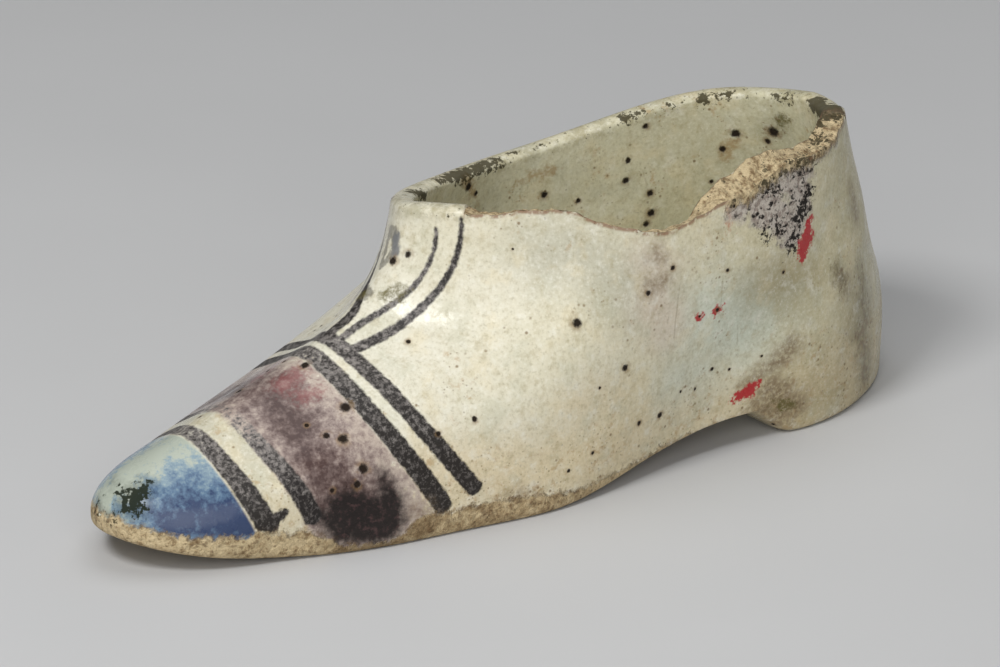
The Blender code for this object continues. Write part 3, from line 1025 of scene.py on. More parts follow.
# %% Cracks read from the photograph
CRACKS = [
    [(468, 311), (466, 323), (465, 336), (463.5, 348), (463, 360)],
    [(497, 311), (496, 322), (495.5, 336)],
    [(439.5, 236), (441, 244), (444, 252)],
    [(507, 343), (508, 352), (507, 362)],
]
crack_lines = [stroke_line(seats(crack)) for crack in CRACKS]
for piece in pieces:
    points, inside = coordinates(piece), kept(piece, "inside")
    crack = np.full((len(points), 3), FAR)
    nearest = np.full(len(points), np.inf)
    for line, normals in crack_lines:
        across, inward, _, apart = measure(points, line, normals)
        apart = np.where(np.abs(inside - side_of(line[0])) > SAME_FACE, np.inf, apart)
        closer = apart < nearest
        nearest[closer] = apart[closer]
        crack[closer] = np.stack([across, np.minimum(inward, REACH - apart), 0 * across], axis=1)[closer]
    keep(piece, "crack", crack)
print("cracks:", len(CRACKS))

# %% [markdown]
# ## Where the glaze stops
#
# The potter wiped the foot, so that the shoe wouldn't stick to the kiln shelf. The glaze ends in a wavering
# line above the sole's edge, high at the toe and lost at the waist. The line is read from the photograph,
# and each point keeps how far below it lies.

# %% Foot of the glaze
GLAZE_FOOT = [
    (60, 481), (75, 487), (95, 494), (111, 499.5), (139.5, 500), (165, 500), (174, 496.5), (190, 496),
    (205, 495), (219, 498.5), (230, 503), (246, 504.5), (264, 502), (275, 496), (285, 484), (303, 481),
    (318, 477), (345, 470), (362, 469), (383, 465), (403, 460),
]
GLAZED_EDGE = -0.6        # past the waist the glaze runs right over the edge
UNDER_FOOT = 4.0

foot_points = seats(GLAZE_FOOT) - SHIFT
foot_points = foot_points[np.argsort(foot_points[:, 1])]
foot_heights = foot_points[:, 2] - sole_line(foot_points[:, 1])
foot_ys = np.append(foot_points[:, 1], -ARCH_END * LENGTH)
foot_heights = np.append(foot_heights, GLAZED_EDGE)
for piece in pieces:
    points = coordinates(piece) - SHIFT
    above = points[:, 2] - sole_line(points[:, 1])
    if piece is heel:
        above = points[:, 2]
    bare = np.interp(points[:, 1], foot_ys, foot_heights) - above
    bare += UNDER_FOOT * kept(piece, "under")
    keep(piece, "bare", np.where(kept(piece, "inside") > 0.5, -FAR, bare))
print("glaze stops", foot_heights.max().round(1), "mm up at most")

# %% [markdown]
# ## Pinholes
#
# Gas burst through the glaze and left pinholes that have filled with dirt. The large ones are read from the
# photograph, and seeded chance adds those of the sides that it doesn't show. Each point keeps its offset
# from the nearest pinhole, as a share of that pinhole's radius, so the shader draws a true circle with any
# mesh.

# %% Pinholes read from the photograph
Pit = namedtuple("Pit", "x y radius")
PITS = [
    Pit(395.4, 346, 0.56), Pit(429.3, 377, 0.44), Pit(324.4, 414.3, 0.34), Pit(299.4, 424.8, 0.30),
    Pit(454, 409.7, 0.38), Pit(439.6, 415.5, 0.32), Pit(390.8, 449.5, 0.27), Pit(407.5, 436.8, 0.24),
    Pit(277.4, 360.7, 0.30), Pit(461.8, 306.5, 0.30), Pit(500, 307.8, 0.25), Pit(445, 324.5, 0.34),
    Pit(539, 308.6, 0.22), Pit(480.8, 340.3, 0.18), Pit(493.3, 335.6, 0.26), Pit(524.6, 367.4, 0.18),
    Pit(490, 377, 0.27), Pit(502, 377, 0.18), Pit(468.3, 393, 0.18), Pit(478.3, 391, 0.2),
    Pit(411.8, 391.2, 0.18), Pit(533, 415, 0.28), Pit(349.7, 295, 0.15),
    Pit(265.6, 304.3, 0.50), Pit(276.3, 299.7, 0.42),
    Pit(234, 407, 0.66), Pit(221, 427.2, 0.40), Pit(232.6, 429.3, 0.60), Pit(247, 450, 0.58),
    Pit(205, 378, 0.50), Pit(207, 420, 0.26), Pit(243, 461, 0.42), Pit(259.5, 461, 0.40),
    Pit(225.5, 465.5, 0.28),
    Pit(318.1, 251.6, 0.60), Pit(323.4, 256.2, 0.36), Pit(371.2, 256.8, 0.46), Pit(395, 260.6, 0.36),
    Pit(428, 246, 0.44), Pit(429.5, 232, 0.42), Pit(445.1, 254.6, 0.42), Pit(446, 268.5, 0.52),
    Pit(442.5, 276.2, 0.44), Pit(504.3, 212.4, 0.60), Pit(495.2, 223.3, 0.42), Pit(530.8, 210.9, 0.70),
    Pit(526.7, 217.4, 0.40), Pit(441.3, 208, 0.38), Pit(488, 246, 0.3), Pit(504, 263, 0.2),
]
CHANCE_PITS = 90
CHANCE_RADII = (0.15, 0.42)
PIT_REACH = 1.4           # millimetres past which a point knows of no pinhole
PIT_SEED = 11
FOOT_CLEAR = 2.0          # pinholes by chance keep this far above the foot of the glaze

pit_sets = {"pit": [], "close_pit": []}


def burst(centre, radius):
    """Add a pinhole to the first set in which it stands alone."""
    for pits in pit_sets.values():
        if all(np.linalg.norm(centre - other) > 2 * PIT_REACH for other, _ in pits):
            pits.append((centre, radius))
            return


chance = random.Random(PIT_SEED)
wall, inside = coordinates(upper), kept(upper, "inside")
unseen = ((wall[:, 0] < 0) & (inside < 0.1)) | ((wall[:, 0] > 5) & (inside > 0.9))
hidden = np.flatnonzero(unseen & (kept(upper, "bare") < -FOOT_CLEAR))
for pit in PITS:
    burst(seat((pit.x, pit.y)), pit.radius)
for _ in range(CHANCE_PITS):
    spread = CHANCE_RADII[1] - CHANCE_RADII[0]
    burst(wall[chance.choice(hidden)], CHANCE_RADII[0] + spread * chance.random() ** 2)

for piece in pieces:
    points = coordinates(piece)
    for name, pits in pit_sets.items():
        offsets = np.tile((0.0, 0.0, FAR), (len(points), 1))
        for centre, radius in pits:
            close = np.linalg.norm(points - centre, axis=1) < PIT_REACH
            offsets[close] = (points[close] - centre) / radius
        keep(piece, name, offsets)
print("pinholes:", sum(len(pits) for pits in pit_sets.values()))

# %% [markdown]
# ## Finishes
#
# A finish is built up as the potter built it: body, glaze, paint, then age. The helper below adds shader
# nodes by short calls and lays one colour over another through a mask. Patterns read Object coordinates in
# millimetres, so their grain has a real size on every piece and runs on over the joints.


# %% Finish helper
class Finish:
    """A material that is built up in layers."""

    def __init__(self, name):
        self.material = bpy.data.materials.new(name)
        self.material.use_nodes = True
        self.tree = self.material.node_tree
        self.shader = self.tree.nodes["Principled BSDF"]
        scaled = self.node("VectorMath", operation="SCALE")
        self.feed(scaled.inputs[0], self.node("TexCoord").outputs["Object"])
        scaled.inputs["Scale"].default_value = 1 / MM
        self.place = scaled.outputs[0]
        self.noises = {}
        self.colour = None

    def node(self, kind, **settings):
        made = self.tree.nodes.new("ShaderNode" + kind)
        for key, value in settings.items():
            setattr(made, key, value)
        return made

    def feed(self, socket, value):
        if isinstance(value, bpy.types.NodeSocket):
            self.tree.links.new(value, socket)
        else:
            socket.default_value = value

    def math(self, operation, a, b=0.0, c=0.0):
        made = self.node("Math", operation=operation)
        for socket, value in zip(made.inputs, (a, b, c)):
            self.feed(socket, value)
        return made.outputs[0]

    def add(self, base, value, share):
        """A base plus a share of a value."""
        return self.math("MULTIPLY_ADD", value, share, base)

    def field(self, name):
        """A number that the mesh keeps."""
        return self.node("Attribute", attribute_name=name).outputs["Fac"]

    def parts(self, vector):
        """The three numbers of a vector."""
        made = self.node("SeparateXYZ")
        self.feed(made.inputs[0], vector)
        return made.outputs

    def arrow(self, name):
        """Three numbers that the mesh keeps."""
        return self.node("Attribute", attribute_name=name).outputs["Vector"]

    def noise(self, size, detail=2.0, roughness=0.55):
        """Soft noise with features of a size in millimetres, from 0 to 1."""
        key = (size, detail, roughness)
        if key not in self.noises:
            made = self.node("TexNoise")
            self.feed(made.inputs["Vector"], self.place)
            made.inputs["Scale"].default_value = 1 / size
            made.inputs["Detail"].default_value = detail
            made.inputs["Roughness"].default_value = roughness
            self.noises[key] = made.outputs[0]
        return self.noises[key]

    def swing(self, size, detail=3.0, roughness=0.6):
        """The same noise about zero, mostly between -1 and 1."""
        return self.math("MULTIPLY_ADD", self.noise(size, detail, roughness), 4.0, -2.0)

    def cells(self, size, squash=(1, 1, 1)):
        """Distance to the middle of scattered cells of a size in millimetres."""
        squashed = self.node("VectorMath", operation="MULTIPLY")
        self.feed(squashed.inputs[0], self.place)
        squashed.inputs[1].default_value = squash
        made = self.node("TexVoronoi")
        self.feed(made.inputs["Vector"], squashed.outputs[0])
        made.inputs["Scale"].default_value = 1 / size
        return made.outputs["Distance"]

    def ramp(self, value, low, high, to_low=0.0, to_high=1.0):
        """A smooth step from one value to another."""
        made = self.node("MapRange", interpolation_type="SMOOTHSTEP")
        for socket, given in zip(made.inputs, (value, low, high, to_low, to_high)):
            self.feed(socket, given)
        return made.outputs[0]

    def ragged(self, depth, edge, size, amount, detail=4.0):
        """A mask from a depth in millimetres, with its edge moved about by noise."""
        return self.ramp(self.add(depth, self.swing(size, detail, 0.65), amount), -edge, edge)

    def specked(self, depth, size, gain, level):
        """Irregular specks, from none outside a patch to crowded in its middle."""
        crowd = self.add(self.noise(size, 4.0, 0.7), depth, gain)
        return self.ramp(crowd, level, level + 0.05)

    def both(self, a, b):
        return self.math("MULTIPLY", a, b)

    def either(self, a, b):
        return self.math("MAXIMUM", a, b)

    def mixed(self, factor, a, b):
        made = self.node("Mix", data_type="RGBA")
        self.feed(made.inputs[0], factor)
        self.feed(made.inputs[6], (*a, 1) if isinstance(a, tuple) else a)
        self.feed(made.inputs[7], (*b, 1) if isinstance(b, tuple) else b)
        return made.outputs[2]

    def graded(self, value, *stops):
        """A colour for a value, through stops of a value and a colour."""
        made = self.node("ValToRGB")
        self.feed(made.inputs[0], value)
        elements = made.color_ramp.elements
        elements[0].position, elements[1].position = stops[0][0], stops[-1][0]
        elements[0].color, elements[1].color = (*stops[0][1], 1), (*stops[-1][1], 1)
        for at, colour in stops[1:-1]:
            elements.new(at).color = (*colour, 1)
        return made.outputs[0]

    def over(self, colour, mask, strength=1.0):
        """Lay a colour over what is there."""
        if strength != 1.0:
            mask = self.math("MULTIPLY", mask, strength)
        self.colour = self.mixed(mask, self.colour, colour)

    def dab(self, colour, kind, edge, size, amount, strength):
        """Lay a colour over the patches of a kind, with a ragged edge."""
        self.over(colour, self.ragged(self.field(kind), edge, size, amount), strength)

    def stroke(self, name, wobble):
        """A mask for a brush stroke, and the distance past its left edge."""
        across, inward, half = self.parts(self.arrow(name))
        past_left = self.math("ADD", half, across)
        rounded = self.math("MAXIMUM", self.math("SUBTRACT", half, inward), 0.0)
        squares = self.add(self.both(rounded, rounded), across, across)
        depth = self.math("SUBTRACT", half, self.math("SQRT", squares))
        return self.ramp(self.math("ADD", depth, wobble), -0.17, 0.15), past_left


# %% [markdown]
# ### Body and glaze
#
# The body is a buff, sandy frit. The glaze over it is cream: white at the throat, darker and yellower
# towards the heel, pale grey-green where it pools, with a fine mottle and a dusting of brown specks that
# thickens at the foot.

# %% Body and glaze
CLAY, DARK_CLAY, PALE_CLAY = (0.42, 0.31, 0.17), (0.19, 0.125, 0.06), (0.66, 0.53, 0.32)
CREAM, WHITE_CREAM, HEELWARD_CREAM = (0.66, 0.61, 0.44), (0.69, 0.66, 0.54), (0.50, 0.45, 0.26)
WARM_CREAM, POOL, PINK = (0.68, 0.56, 0.35), (0.62, 0.69, 0.60), (0.62, 0.52, 0.43)
# The middle colour of the next line is stain and painted shade.
GREY_CREAM, STAIN_AND_SHADE_CREAM, RIM_STAIN = (0.50, 0.48, 0.37), (0.28, 0.235, 0.12), (0.30, 0.26, 0.14)
INNER_CREAM, SPECK, RUSTY = (0.64, 0.62, 0.46), (0.17, 0.105, 0.04), (0.40, 0.25, 0.10)

# noise: size in millimetres, detail and roughness; spread: how far from the noise's middle a tone is full
Mottle = namedtuple("Mottle", "noise spread dark dark_strength pale pale_strength")
MOTTLES = [
    Mottle((4.5, 3.0, 0.6), 0.18, (0.50, 0.49, 0.37), 0.45, (0.70, 0.60, 0.38), 0.35),
    Mottle((1.5, 4.0, 0.65), 0.22, (0.40, 0.34, 0.19), 0.42, (0.78, 0.76, 0.66), 0.42),
    Mottle((0.42, 3.0, 0.65), 0.22, (0.30, 0.26, 0.15), 0.34, (0.85, 0.83, 0.74), 0.30),
]


def clay_body(finish):
    """The bare fired body: sandy, with darker and paler grains, and paler at the toe and the waist."""
    _, along, _ = finish.parts(finish.place)
    grain = finish.noise(1.3, 5.0, 0.7)
    finish.colour = finish.graded(grain, (0.32, DARK_CLAY), (0.47, CLAY), (0.66, PALE_CLAY))
    ends = finish.either(finish.ramp(along, -24.0, -40.0), finish.ramp(along, -6.0, 10.0))
    finish.over(PALE_CLAY, finish.both(ends, finish.ramp(grain, 0.38, 0.54)), 0.7)
    return finish.colour


def cream_glaze(finish):
    """The glaze: cream, darker and yellower towards the heel, mottled and speckled."""
    _, along, _ = finish.parts(finish.place)
    drift = finish.swing(9.0, 3.0, 0.6)
    # Whiter towards the throat, and darker and yellower towards the heel.
    less_white = finish.ramp(finish.add(along, drift, 9.0), -26.0, 12.0)
    finish.colour = finish.mixed(less_white, WHITE_CREAM, CREAM)
    towards_heel = finish.ramp(finish.add(along, drift, 14.0), -2.0, 62.0)
    finish.over(HEELWARD_CREAM, towards_heel, 0.9)
    finish.dab(GREY_CREAM, "grey_cream", 4.0, 4.0, 1.5, 0.95)
    # Stain and painted shade, darker at the heel's foot, down the back edge and inside the far wall.
    finish.dab(STAIN_AND_SHADE_CREAM, "dull", 4.0, 3.5, 1.6, 0.75)
    finish.dab(POOL, "pool", 4.0, 5.0, 1.6, 0.65)
    finish.dab(PINK, "pink", 2.5, 3.0, 1.2, 0.6)
    foot = finish.ramp(finish.add(finish.field("bare"), finish.swing(2.6), 2.0), -11.0, 1.0)
    finish.over(WARM_CREAM, foot, 0.55)
    finish.dab(WARM_CREAM, "warm", 3.0, 3.0, 1.6, 0.55)
    finish.over(INNER_CREAM, finish.field("inside"), 0.7)
    rim = finish.ramp(finish.field("from_rim"), 1.3, 0.1)
    finish.over(RIM_STAIN, finish.both(rim, finish.ramp(finish.noise(2.2, 4.0, 0.7), 0.42, 0.60)), 0.5)
    for mottle in MOTTLES:
        pattern = finish.noise(*mottle.noise)
        finish.over(mottle.dark, finish.ramp(pattern, 0.50, 0.50 + mottle.spread), mottle.dark_strength)
        finish.over(mottle.pale, finish.ramp(pattern, 0.48, 0.50 - mottle.spread), mottle.pale_strength)
    dusting(finish, foot, towards_heel)


def dusting(finish, foot, towards_heel):
    """Brown specks in drifts, thicker at the foot and towards the heel."""
    drifts = finish.add(finish.noise(4.0, 2.0), foot, 0.22)
    drifts = finish.add(drifts, towards_heel, 0.06)
    rusty = finish.ramp(finish.noise(1.1, 4.0, 0.7), 0.52, 0.66)
    finish.over(RUSTY, finish.both(rusty, finish.ramp(drifts, 0.56, 0.74)), 0.50)
    specks = finish.ramp(finish.cells(1.5), 0.17, 0.06)
    finish.over(SPECK, finish.both(specks, finish.ramp(drifts, 0.48, 0.64)), 0.75)
    fine_specks = finish.ramp(finish.cells(0.62), 0.24, 0.09)
    finish.over(SPECK, finish.both(fine_specks, finish.ramp(drifts, 0.52, 0.70)), 0.55)


# %% [markdown]
# ### Paint
#
# Cobalt blue washed over the toe, manganese purple dabbed over the vamp, and dark lines beside them. Paint
# that soaks into raw glaze is never flat, so each wash is a scale of tones, from thin to thick, and its
# patches and noise choose the tone. The lines are darker at their feet, and the grain shows through them.

# %% Washes
PALE_TOE, SKY = (0.41, 0.45, 0.38), (0.235, 0.325, 0.375)
BLUE, DEEP_BLUE = (0.090, 0.165, 0.265), (0.010, 0.034, 0.108)
PINK_CREAM, LILAC = (0.46, 0.38, 0.32), (0.29, 0.225, 0.20)
PLUM_GREY, PLUM, DARK_PURPLE = (0.145, 0.098, 0.090), (0.062, 0.032, 0.031), (0.013, 0.009, 0.008)
CRIMSON = (0.30, 0.075, 0.075)


def blue_toe(finish, past_line):
    """Cobalt over the toe: pale on top, deep and brushy towards the foot."""
    toe = finish.ragged(finish.field("blue"), 0.5, 2.0, 0.4)
    toe = finish.both(toe, finish.ramp(past_line, 0.05, -0.4))
    wash = finish.add(0.71, finish.field("deep_blue"), 0.13)
    wash = finish.add(wash, finish.swing(1.6, 5.0, 0.7), 0.34)
    wash = finish.add(wash, finish.swing(0.6, 3.0, 0.65), 0.24)
    wash = finish.add(wash, finish.ragged(finish.field("pale_toe"), 1.6, 1.2, 1.0), -0.26)
    tones = finish.graded(wash, (0.0, PALE_TOE), (0.22, SKY), (0.55, BLUE), (0.92, DEEP_BLUE))
    finish.over(tones, toe, 0.96)


def purple_band(finish, past_line_2, past_line_3):
    """Manganese over the vamp: lilac and mottled, with plum clots and a dark pool at its foot."""
    start = finish.add(past_line_2, finish.swing(1.2), 0.35)
    band = finish.both(finish.ramp(start, -0.3, 0.5), finish.ramp(past_line_3, 0.25, -0.25))
    wash = finish.add(0.34, finish.field("purple"), 0.10)
    wash = finish.add(wash, finish.swing(1.7, 5.0, 0.75), 0.46)
    wash = finish.add(wash, finish.swing(0.6, 3.0, 0.65), 0.28)
    wash = finish.add(wash, finish.ragged(finish.field("plum"), 1.3, 1.0, 0.9), 0.28)
    tones = finish.graded(wash, (0.0, PINK_CREAM), (0.32, LILAC), (0.66, PLUM_GREY), (1.0, PLUM))
    finish.over(tones, finish.both(band, finish.ramp(wash, -0.45, -0.05)), 0.97)
    finish.dab(CRIMSON, "crimson", 1.0, 0.6, 1.2, 0.42)
    pool = finish.ragged(finish.field("bulb"), 1.1, 0.9, 0.6)
    thick = finish.ramp(finish.swing(0.6, 3.0, 0.65), -0.9, 0.0)
    finish.over(finish.mixed(thick, PLUM, DARK_PURPLE), finish.both(pool, band), 0.98)


# %% Brush lines as ink
INK, GREY_INK, WORN_INK = (0.014, 0.011, 0.010), (0.085, 0.075, 0.070), (0.22, 0.20, 0.185)
GREY_MARK = (0.13, 0.14, 0.16)


def paint(finish):
    """Blue toe, purple band and brush lines. Returns the mask of the lines."""
    wobble = finish.math("MULTIPLY", finish.swing(0.7, 4.0, 0.65), 0.16)
    strokes = {s.name: finish.stroke(s.name, wobble) for s in BANDS + THROAT + [FAR_LINE]}
    past = {name: past_left for name, (_, past_left) in strokes.items()}
    blue_toe(finish, past["line_1"])
    purple_band(finish, past["line_2"], past["line_3"])

    ink = finish.ragged(finish.field("blot"), 0.15, 0.6, 0.22)
    throat_mark = finish.ragged(finish.field("throat_mark"), 0.2, 0.6, 0.3)
    ink = finish.either(ink, finish.both(throat_mark, 0.6))
    for mask, _ in strokes.values():
        ink = finish.either(ink, mask)
    load = finish.field("ink_load")
    grain = finish.swing(0.6, 4.0, 0.75)
    ink = finish.both(ink, finish.ramp(finish.add(load, grain, 0.40), 0.02, 0.34))
    worn = finish.ramp(finish.add(load, grain, 0.70), 0.80, 0.15)
    speckle = finish.ramp(finish.noise(0.45, 3.0, 0.7), 0.50, 0.64)
    finish.over(finish.mixed(worn, finish.mixed(speckle, INK, GREY_INK), WORN_INK), ink, 0.99)
    finish.dab(GREY_MARK, "grey_mark", 0.35, 0.8, 0.4, 0.7)
    return ink


# %% [markdown]
# ### Age
#
# Brown and olive stains, red specks, soot, crumbs of dirt on the rim and a patch where the glaze has flaked
# off. Soft stains are patches with a wide edge. Dirt lies in irregular specks, so there the patch only says
# how crowded the specks are.

# %% Age
BROWN, OLIVE, OCHRE = (0.19, 0.13, 0.07), (0.11, 0.092, 0.02), (0.33, 0.20, 0.07)
RED, RUST, GREY_BACK = (0.42, 0.010, 0.018), (0.44, 0.17, 0.10), (0.12, 0.11, 0.05)
SOOT, MOSS, CRUMB = (0.012, 0.009, 0.007), (0.014, 0.019, 0.010), (0.040, 0.032, 0.012)
FLAKED, FLAKED_SHADE, HAIR_CRACK = (0.52, 0.46, 0.42), (0.22, 0.17, 0.14), (0.25, 0.19, 0.10)
PIT_STAIN, PIT_DIRT = (0.22, 0.13, 0.05), (0.014, 0.008, 0.004)

# each kind of stain: its colour, the width of its soft edge in millimetres, and its strength
STAINS = {
    "brown": (BROWN, 1.6, 0.85),
    "olive": (OLIVE, 0.5, 0.9),
    "ochre": (OCHRE, 0.45, 0.65),
    "grey_back": (GREY_BACK, 1.9, 0.6),
    "rust": (RUST, 0.3, 0.75),
}


def stains(finish):
    """Soft stains with a wide edge, broken up by a fine grain."""
    fine = finish.ramp(finish.noise(0.5, 4.0, 0.7), 0.30, 0.60)
    for kind, (colour, edge, strength) in STAINS.items():
        mask = finish.ragged(finish.field(kind), edge, 1.3, 0.9)
        finish.over(colour, finish.both(mask, finish.add(0.25, fine, 0.75)), strength)


def flaked_patch(finish):
    """A patch where the glaze has flaked off, dotted with soot. Returns its mask and the soot's."""
    flaked = finish.ragged(finish.field("flaked"), 0.7, 1.4, 0.9)
    finish.over(FLAKED, flaked, 0.8)
    shade = finish.ramp(finish.noise(0.8, 4.0, 0.7), 0.46, 0.60)
    finish.over(FLAKED_SHADE, finish.both(flaked, shade), 0.75)
    soot = finish.specked(finish.field("soot"), 0.6, 0.11, 0.52)
    dots = finish.add(finish.cells(0.62, (1, 0.6, 0.9)), finish.noise(0.9, 3.0, 0.7), -0.95)
    crowds = finish.ramp(finish.noise(1.3, 4.0, 0.7), 0.43, 0.55)
    dots = finish.both(finish.ramp(dots, -0.02, -0.12), crowds)
    soot = finish.either(finish.both(flaked, dots), soot)
    finish.over(SOOT, soot, 0.98)
    return flaked, soot


def moss_and_crumbs(finish):
    """Moss on the toe, brown and red specks, and crumbs at the rim. Returns the mask of moss and crumbs."""
    moss = finish.specked(finish.field("moss"), 0.75, 0.12, 0.56)
    finish.dab(MOSS, "moss", 1.1, 1.0, 0.9, 0.45)
    finish.over(MOSS, moss, 0.97)
    finish.over(BROWN, finish.specked(finish.field("grey_back"), 0.7, 0.05, 0.56), 0.7)
    finish.dab(RED, "red", 0.25, 0.7, 0.85, 0.95)
    crumbs = finish.specked(finish.field("crumbs"), 0.8, 0.20, 0.53)
    stray = finish.specked(finish.field("from_rim"), 0.62, -0.07, 0.61)
    crumbs = finish.either(crumbs, stray)
    finish.over(CRUMB, crumbs, 0.9)
    return finish.either(crumbs, moss)


def hair_cracks(finish):
    """Fine brown cracks in the glaze."""
    across, inward, _ = finish.parts(finish.arrow("crack"))
    hair = finish.ramp(finish.math("ABSOLUTE", across), 0.16, 0.03)
    hair = finish.both(hair, finish.ramp(inward, 0.0, 1.2))
    finish.over(HAIR_CRACK, finish.both(hair, finish.ramp(finish.noise(0.9), 0.3, 0.6)), 0.35)


def age(finish):
    """Stains, dirt and flaked glaze. Returns the masks of the flaked patch and of the dirt."""
    stains(finish)
    flaked, soot = flaked_patch(finish)
    dirt = finish.either(moss_and_crumbs(finish), soot)
    hair_cracks(finish)
    return flaked, dirt


def pinholes(finish):
    """Dirt in the pinholes. Returns how deep each one is."""
    length = {}
    for name in pit_sets:
        made = finish.node("VectorMath", operation="LENGTH")
        finish.feed(made.inputs[0], finish.arrow(name))
        length[name] = made.outputs["Value"]
    radius = finish.math("MINIMUM", *length.values())
    radius = finish.add(radius, finish.swing(0.35, 2.0), 0.22)
    stain = finish.both(finish.ramp(radius, 2.3, 0.9), finish.ramp(finish.noise(1.3), 0.36, 0.58))
    finish.over(PIT_STAIN, stain, 0.55)
    finish.over(PIT_DIRT, finish.ramp(radius, 1.22, 0.55), 0.99)
    return finish.ramp(radius, 1.1, 0.4)


# %% [markdown]
# ### One fired surface
#
# The layers are put together with their gloss and relief. Glaze is smooth and glossy with a faint orange
# peel, and bare clay is rough and sandy. The relief is summed in millimetres and goes through one Bump node.

# %% Bare clay
SCORCH, BREAK_LINE = (0.16, 0.095, 0.045), (0.22, 0.10, 0.05)


def bare_clay(finish, clay, flaked, dirt):
    """The body where the foot was wiped, the collar broke or the glaze was shed. Returns its mask."""
    foot = finish.field("bare")
    wiped = finish.ragged(finish.add(foot, finish.swing(3.2, 2.0), 0.35), 0.32, 0.8, 0.45)
    face = finish.add(finish.field("break_face"), finish.swing(1.1, 4.0, 0.7), 0.22)
    face = finish.ramp(face, 0.35, 0.60)
    scorch = finish.ragged(foot, 1.0, 0.9, 0.9)
    finish.over(SCORCH, finish.both(scorch, finish.ramp(finish.noise(1.1, 4.0, 0.7), 0.44, 0.58)), 0.70)
    chipped = finish.both(finish.ramp(finish.field("from_rim"), 0.55, 0.2), finish.field("broken"))
    finish.over(BREAK_LINE, finish.both(chipped, finish.ramp(finish.noise(0.8, 3.0), 0.35, 0.55)), 0.75)
    shed = finish.add(finish.field("from_rim"), finish.swing(0.9, 4.0, 0.7), 0.8)
    shed = finish.both(flaked, finish.ramp(shed, 1.6, 0.5))
    bare = finish.either(wiped, finish.either(face, shed))
    finish.over(clay, bare)

    # Painted shade: the bare clay darkened where the ball meets the floor.
    soil = finish.ragged(finish.field("soil"), 1.6, 1.4, 1.2)
    finish.over(DARK_CLAY, finish.both(bare, soil), 0.65)
    grime = finish.ramp(finish.noise(1.4, 5.0, 0.75), 0.53, 0.64)
    finish.over(SCORCH, finish.both(wiped, grime), 0.6)
    crumbly = finish.noise(0.6, 4.0, 0.7)
    finish.over(PALE_CLAY, finish.both(face, finish.ramp(crumbly, 0.48, 0.60)), 0.6)
    finish.over(SCORCH, finish.both(face, finish.ramp(crumbly, 0.46, 0.36)), 0.6)
    finish.over(CRUMB, finish.both(bare, dirt), 0.9)
    finish.over(SCORCH, finish.both(bare, finish.ramp(finish.cells(0.9), 0.30, 0.10)), 0.6)
    return bare


# %% Gloss and relief
GLAZE_ROUGHNESS = (0.18, 0.36)      # from the glossiest to the dullest glaze
FLAKED_ROUGHNESS, CLAY_ROUGHNESS, INK_ROUGHNESS, DIRT_ROUGHNESS = 0.7, 0.9, 0.5, 0.95
GLAZE_IOR, GLAZE_SPECULAR = 1.5, 0.28

# relief in millimetres: waves of the glaze, large and small, lumps and sand of the clay, and pinholes
PEEL, FINE_PEEL, LUMPS, SAND, SAND_LOW, PIT_SINK = 0.09, 0.016, 0.8, 0.42, 0.30, 0.16
FLAKED_SAND = 0.6                   # how sandy the flaked patch is, next to bare clay


def gloss(finish, dull_masks):
    """How rough the surface is: glossy glaze, and duller where a mask says so."""
    rough = finish.ramp(finish.noise(2.5, 3.0), 0.3, 0.7, *GLAZE_ROUGHNESS)
    for mask, roughness in dull_masks:
        rough = finish.either(rough, finish.both(mask, roughness))
    finish.feed(finish.shader.inputs["Roughness"], rough)
    finish.shader.inputs["IOR"].default_value = GLAZE_IOR
    finish.shader.inputs["Specular IOR Level"].default_value = GLAZE_SPECULAR


def relief(finish, bare, flaked, pit_depth):
    """The height of the surface, through one Bump node."""
    height = finish.both(finish.noise(2.5, 3.0), PEEL)
    height = finish.add(height, finish.noise(0.7, 2.0), FINE_PEEL)
    sand = finish.add(-SAND_LOW, finish.noise(0.5, 4.0, 0.7), SAND)
    height = finish.add(height, sand, finish.either(bare, finish.both(flaked, FLAKED_SAND)))
    height = finish.add(height, finish.both(finish.noise(1.4, 3.0), LUMPS), bare)
    height = finish.add(height, pit_depth, -PIT_SINK)
    bump = finish.node("Bump")
    bump.inputs["Strength"].default_value = 1.0
    bump.inputs["Distance"].default_value = MM
    finish.feed(bump.inputs["Height"], height)
    finish.feed(finish.shader.inputs["Normal"], bump.outputs[0])


# %% Fired surface
def fired_surface(name):
    """The whole finish of the shoe as a material."""
    finish = Finish(name)
    clay = clay_body(finish)
    cream_glaze(finish)
    ink = paint(finish)
    flaked, dirt = age(finish)
    bare = bare_clay(finish, clay, flaked, dirt)
    pit_depth = pinholes(finish)
    finish.feed(finish.shader.inputs["Base Color"], finish.colour)
    gloss(finish, [
        (flaked, FLAKED_ROUGHNESS), (bare, CLAY_ROUGHNESS), (ink, INK_ROUGHNESS), (dirt, DIRT_ROUGHNESS),
        (pit_depth, DIRT_ROUGHNESS),
    ])
    relief(finish, bare, flaked, pit_depth)
    return finish.material


# %% Dress the pieces
DRESSED = [(upper, "upper", "cream_glaze"), (sole, "sole", "bare_clay"), (heel, "heel", "stained_glaze")]
for piece, node, slot in DRESSED:
    piece.data.materials.append(fired_surface(slot))
    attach(piece, "root")
    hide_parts(node)
    print(piece.name, "stands for", node)

# %% [markdown]
# ## Floor, light and camera
#
# A pale floor, and four soft lamps: a small key above the toe, a broad one in front, and weak ones above and
# behind. The camera stands at the photograph's eye point, turned to the shoe.

# %% Floor
FLOOR_HALF = 2.0          # metres from its middle to its edge
FLOOR_TONES = (0.52, 0.52, 0.52), (0.55, 0.55, 0.55)
FLOOR_ROUGHNESS = 0.85


def floor_material():
    """Pale grey with a faint drift of tone."""
    finish = Finish("pale_floor")
    finish.colour = finish.mixed(finish.noise(40.0, 2.0), *FLOOR_TONES)
    finish.feed(finish.shader.inputs["Base Color"], finish.colour)
    finish.shader.inputs["Roughness"].default_value = FLOOR_ROUGHNESS
    return finish.material


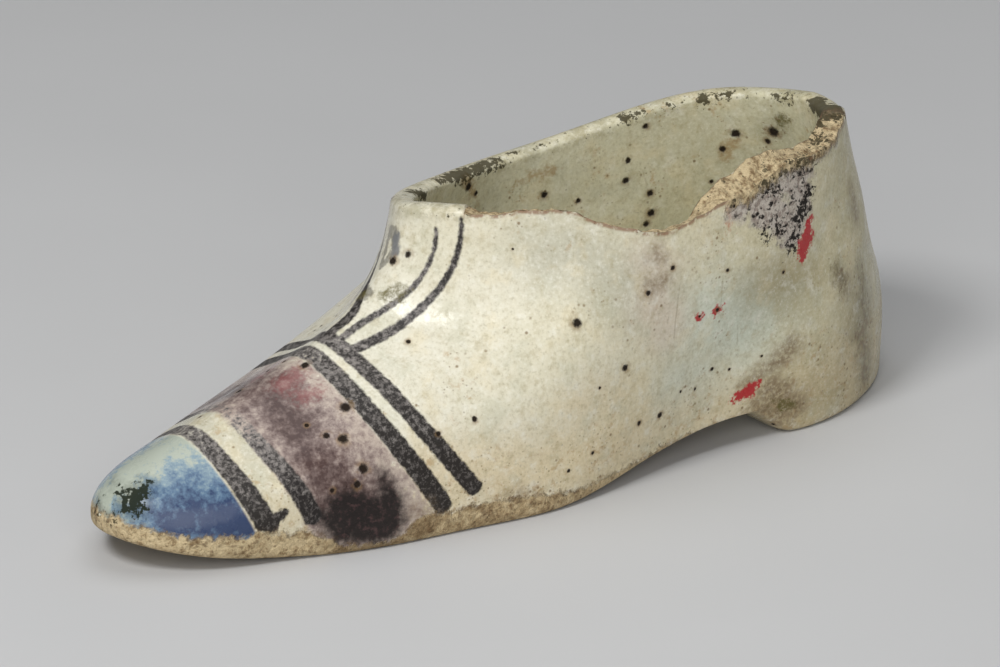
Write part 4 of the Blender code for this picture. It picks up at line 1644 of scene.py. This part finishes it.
shape = bmesh.new()
bmesh.ops.create_grid(shape, x_segments=4, y_segments=4, size=FLOOR_HALF)
floor_mesh = bpy.data.meshes.new("floor")
shape.to_mesh(floor_mesh)
shape.free()
floor_mesh.materials.append(floor_material())
floor = bpy.data.objects.new("floor", floor_mesh)
bpy.context.scene.collection.objects.link(floor)
print("floor:", 2 * FLOOR_HALF, "m wide")

# %% Light
# away: millimetres from the shoe's middle; size: side of the square lamp in metres; watts: its power
Lamp = namedtuple("Lamp", "name away size watts")
LAMPS = [
    Lamp("key", (145, -375, 475), 0.16, 2.2),
    Lamp("front", (680, -430, 330), 0.60, 3.6),
    Lamp("top", (-60, 80, 600), 0.50, 1.2),
    Lamp("back", (-330, 620, 300), 0.60, 0.4),
]
SHOE_MIDDLE = Vector((0, 0, 16))
SURROUND, SURROUND_STRENGTH = (0.9, 0.95, 1.0, 1), 0.10


def aim(thing, place, target):
    """Put a lamp or the camera at a place, in millimetres, looking at a target."""
    thing.location = Vector(place) * MM
    thing.rotation_euler = (Vector(target) - Vector(place)).to_track_quat("-Z", "Y").to_euler()


for lamp in LAMPS:
    light = bpy.data.lights.new(lamp.name, "AREA")
    light.size = lamp.size
    light.energy = lamp.watts
    thing = bpy.data.objects.new(lamp.name, light)
    aim(thing, Vector(lamp.away) + SHOE_MIDDLE, SHOE_MIDDLE)
    bpy.context.scene.collection.objects.link(thing)

world = bpy.data.worlds.new("studio")
world.use_nodes = True
background = world.node_tree.nodes["Background"]
background.inputs["Color"].default_value = SURROUND
background.inputs["Strength"].default_value = SURROUND_STRENGTH
bpy.context.scene.world = world
print("lamps:", ", ".join(lamp.name for lamp in LAMPS))

# %% Camera
LENS = 246.0                        # millimetres, a long lens
CAMERA_TARGET = (0.5, 0.5, 14.0)
CLIP_START = 0.01                   # metres

lens = bpy.data.cameras.new("camera")
lens.lens = LENS
lens.clip_start = CLIP_START
camera = bpy.data.objects.new("camera", lens)
aim(camera, EYE, CAMERA_TARGET)
bpy.context.scene.collection.objects.link(camera)
bpy.context.scene.camera = camera
bpy.context.scene.view_settings.view_transform = "Standard"
print("camera looks at", CAMERA_TARGET)
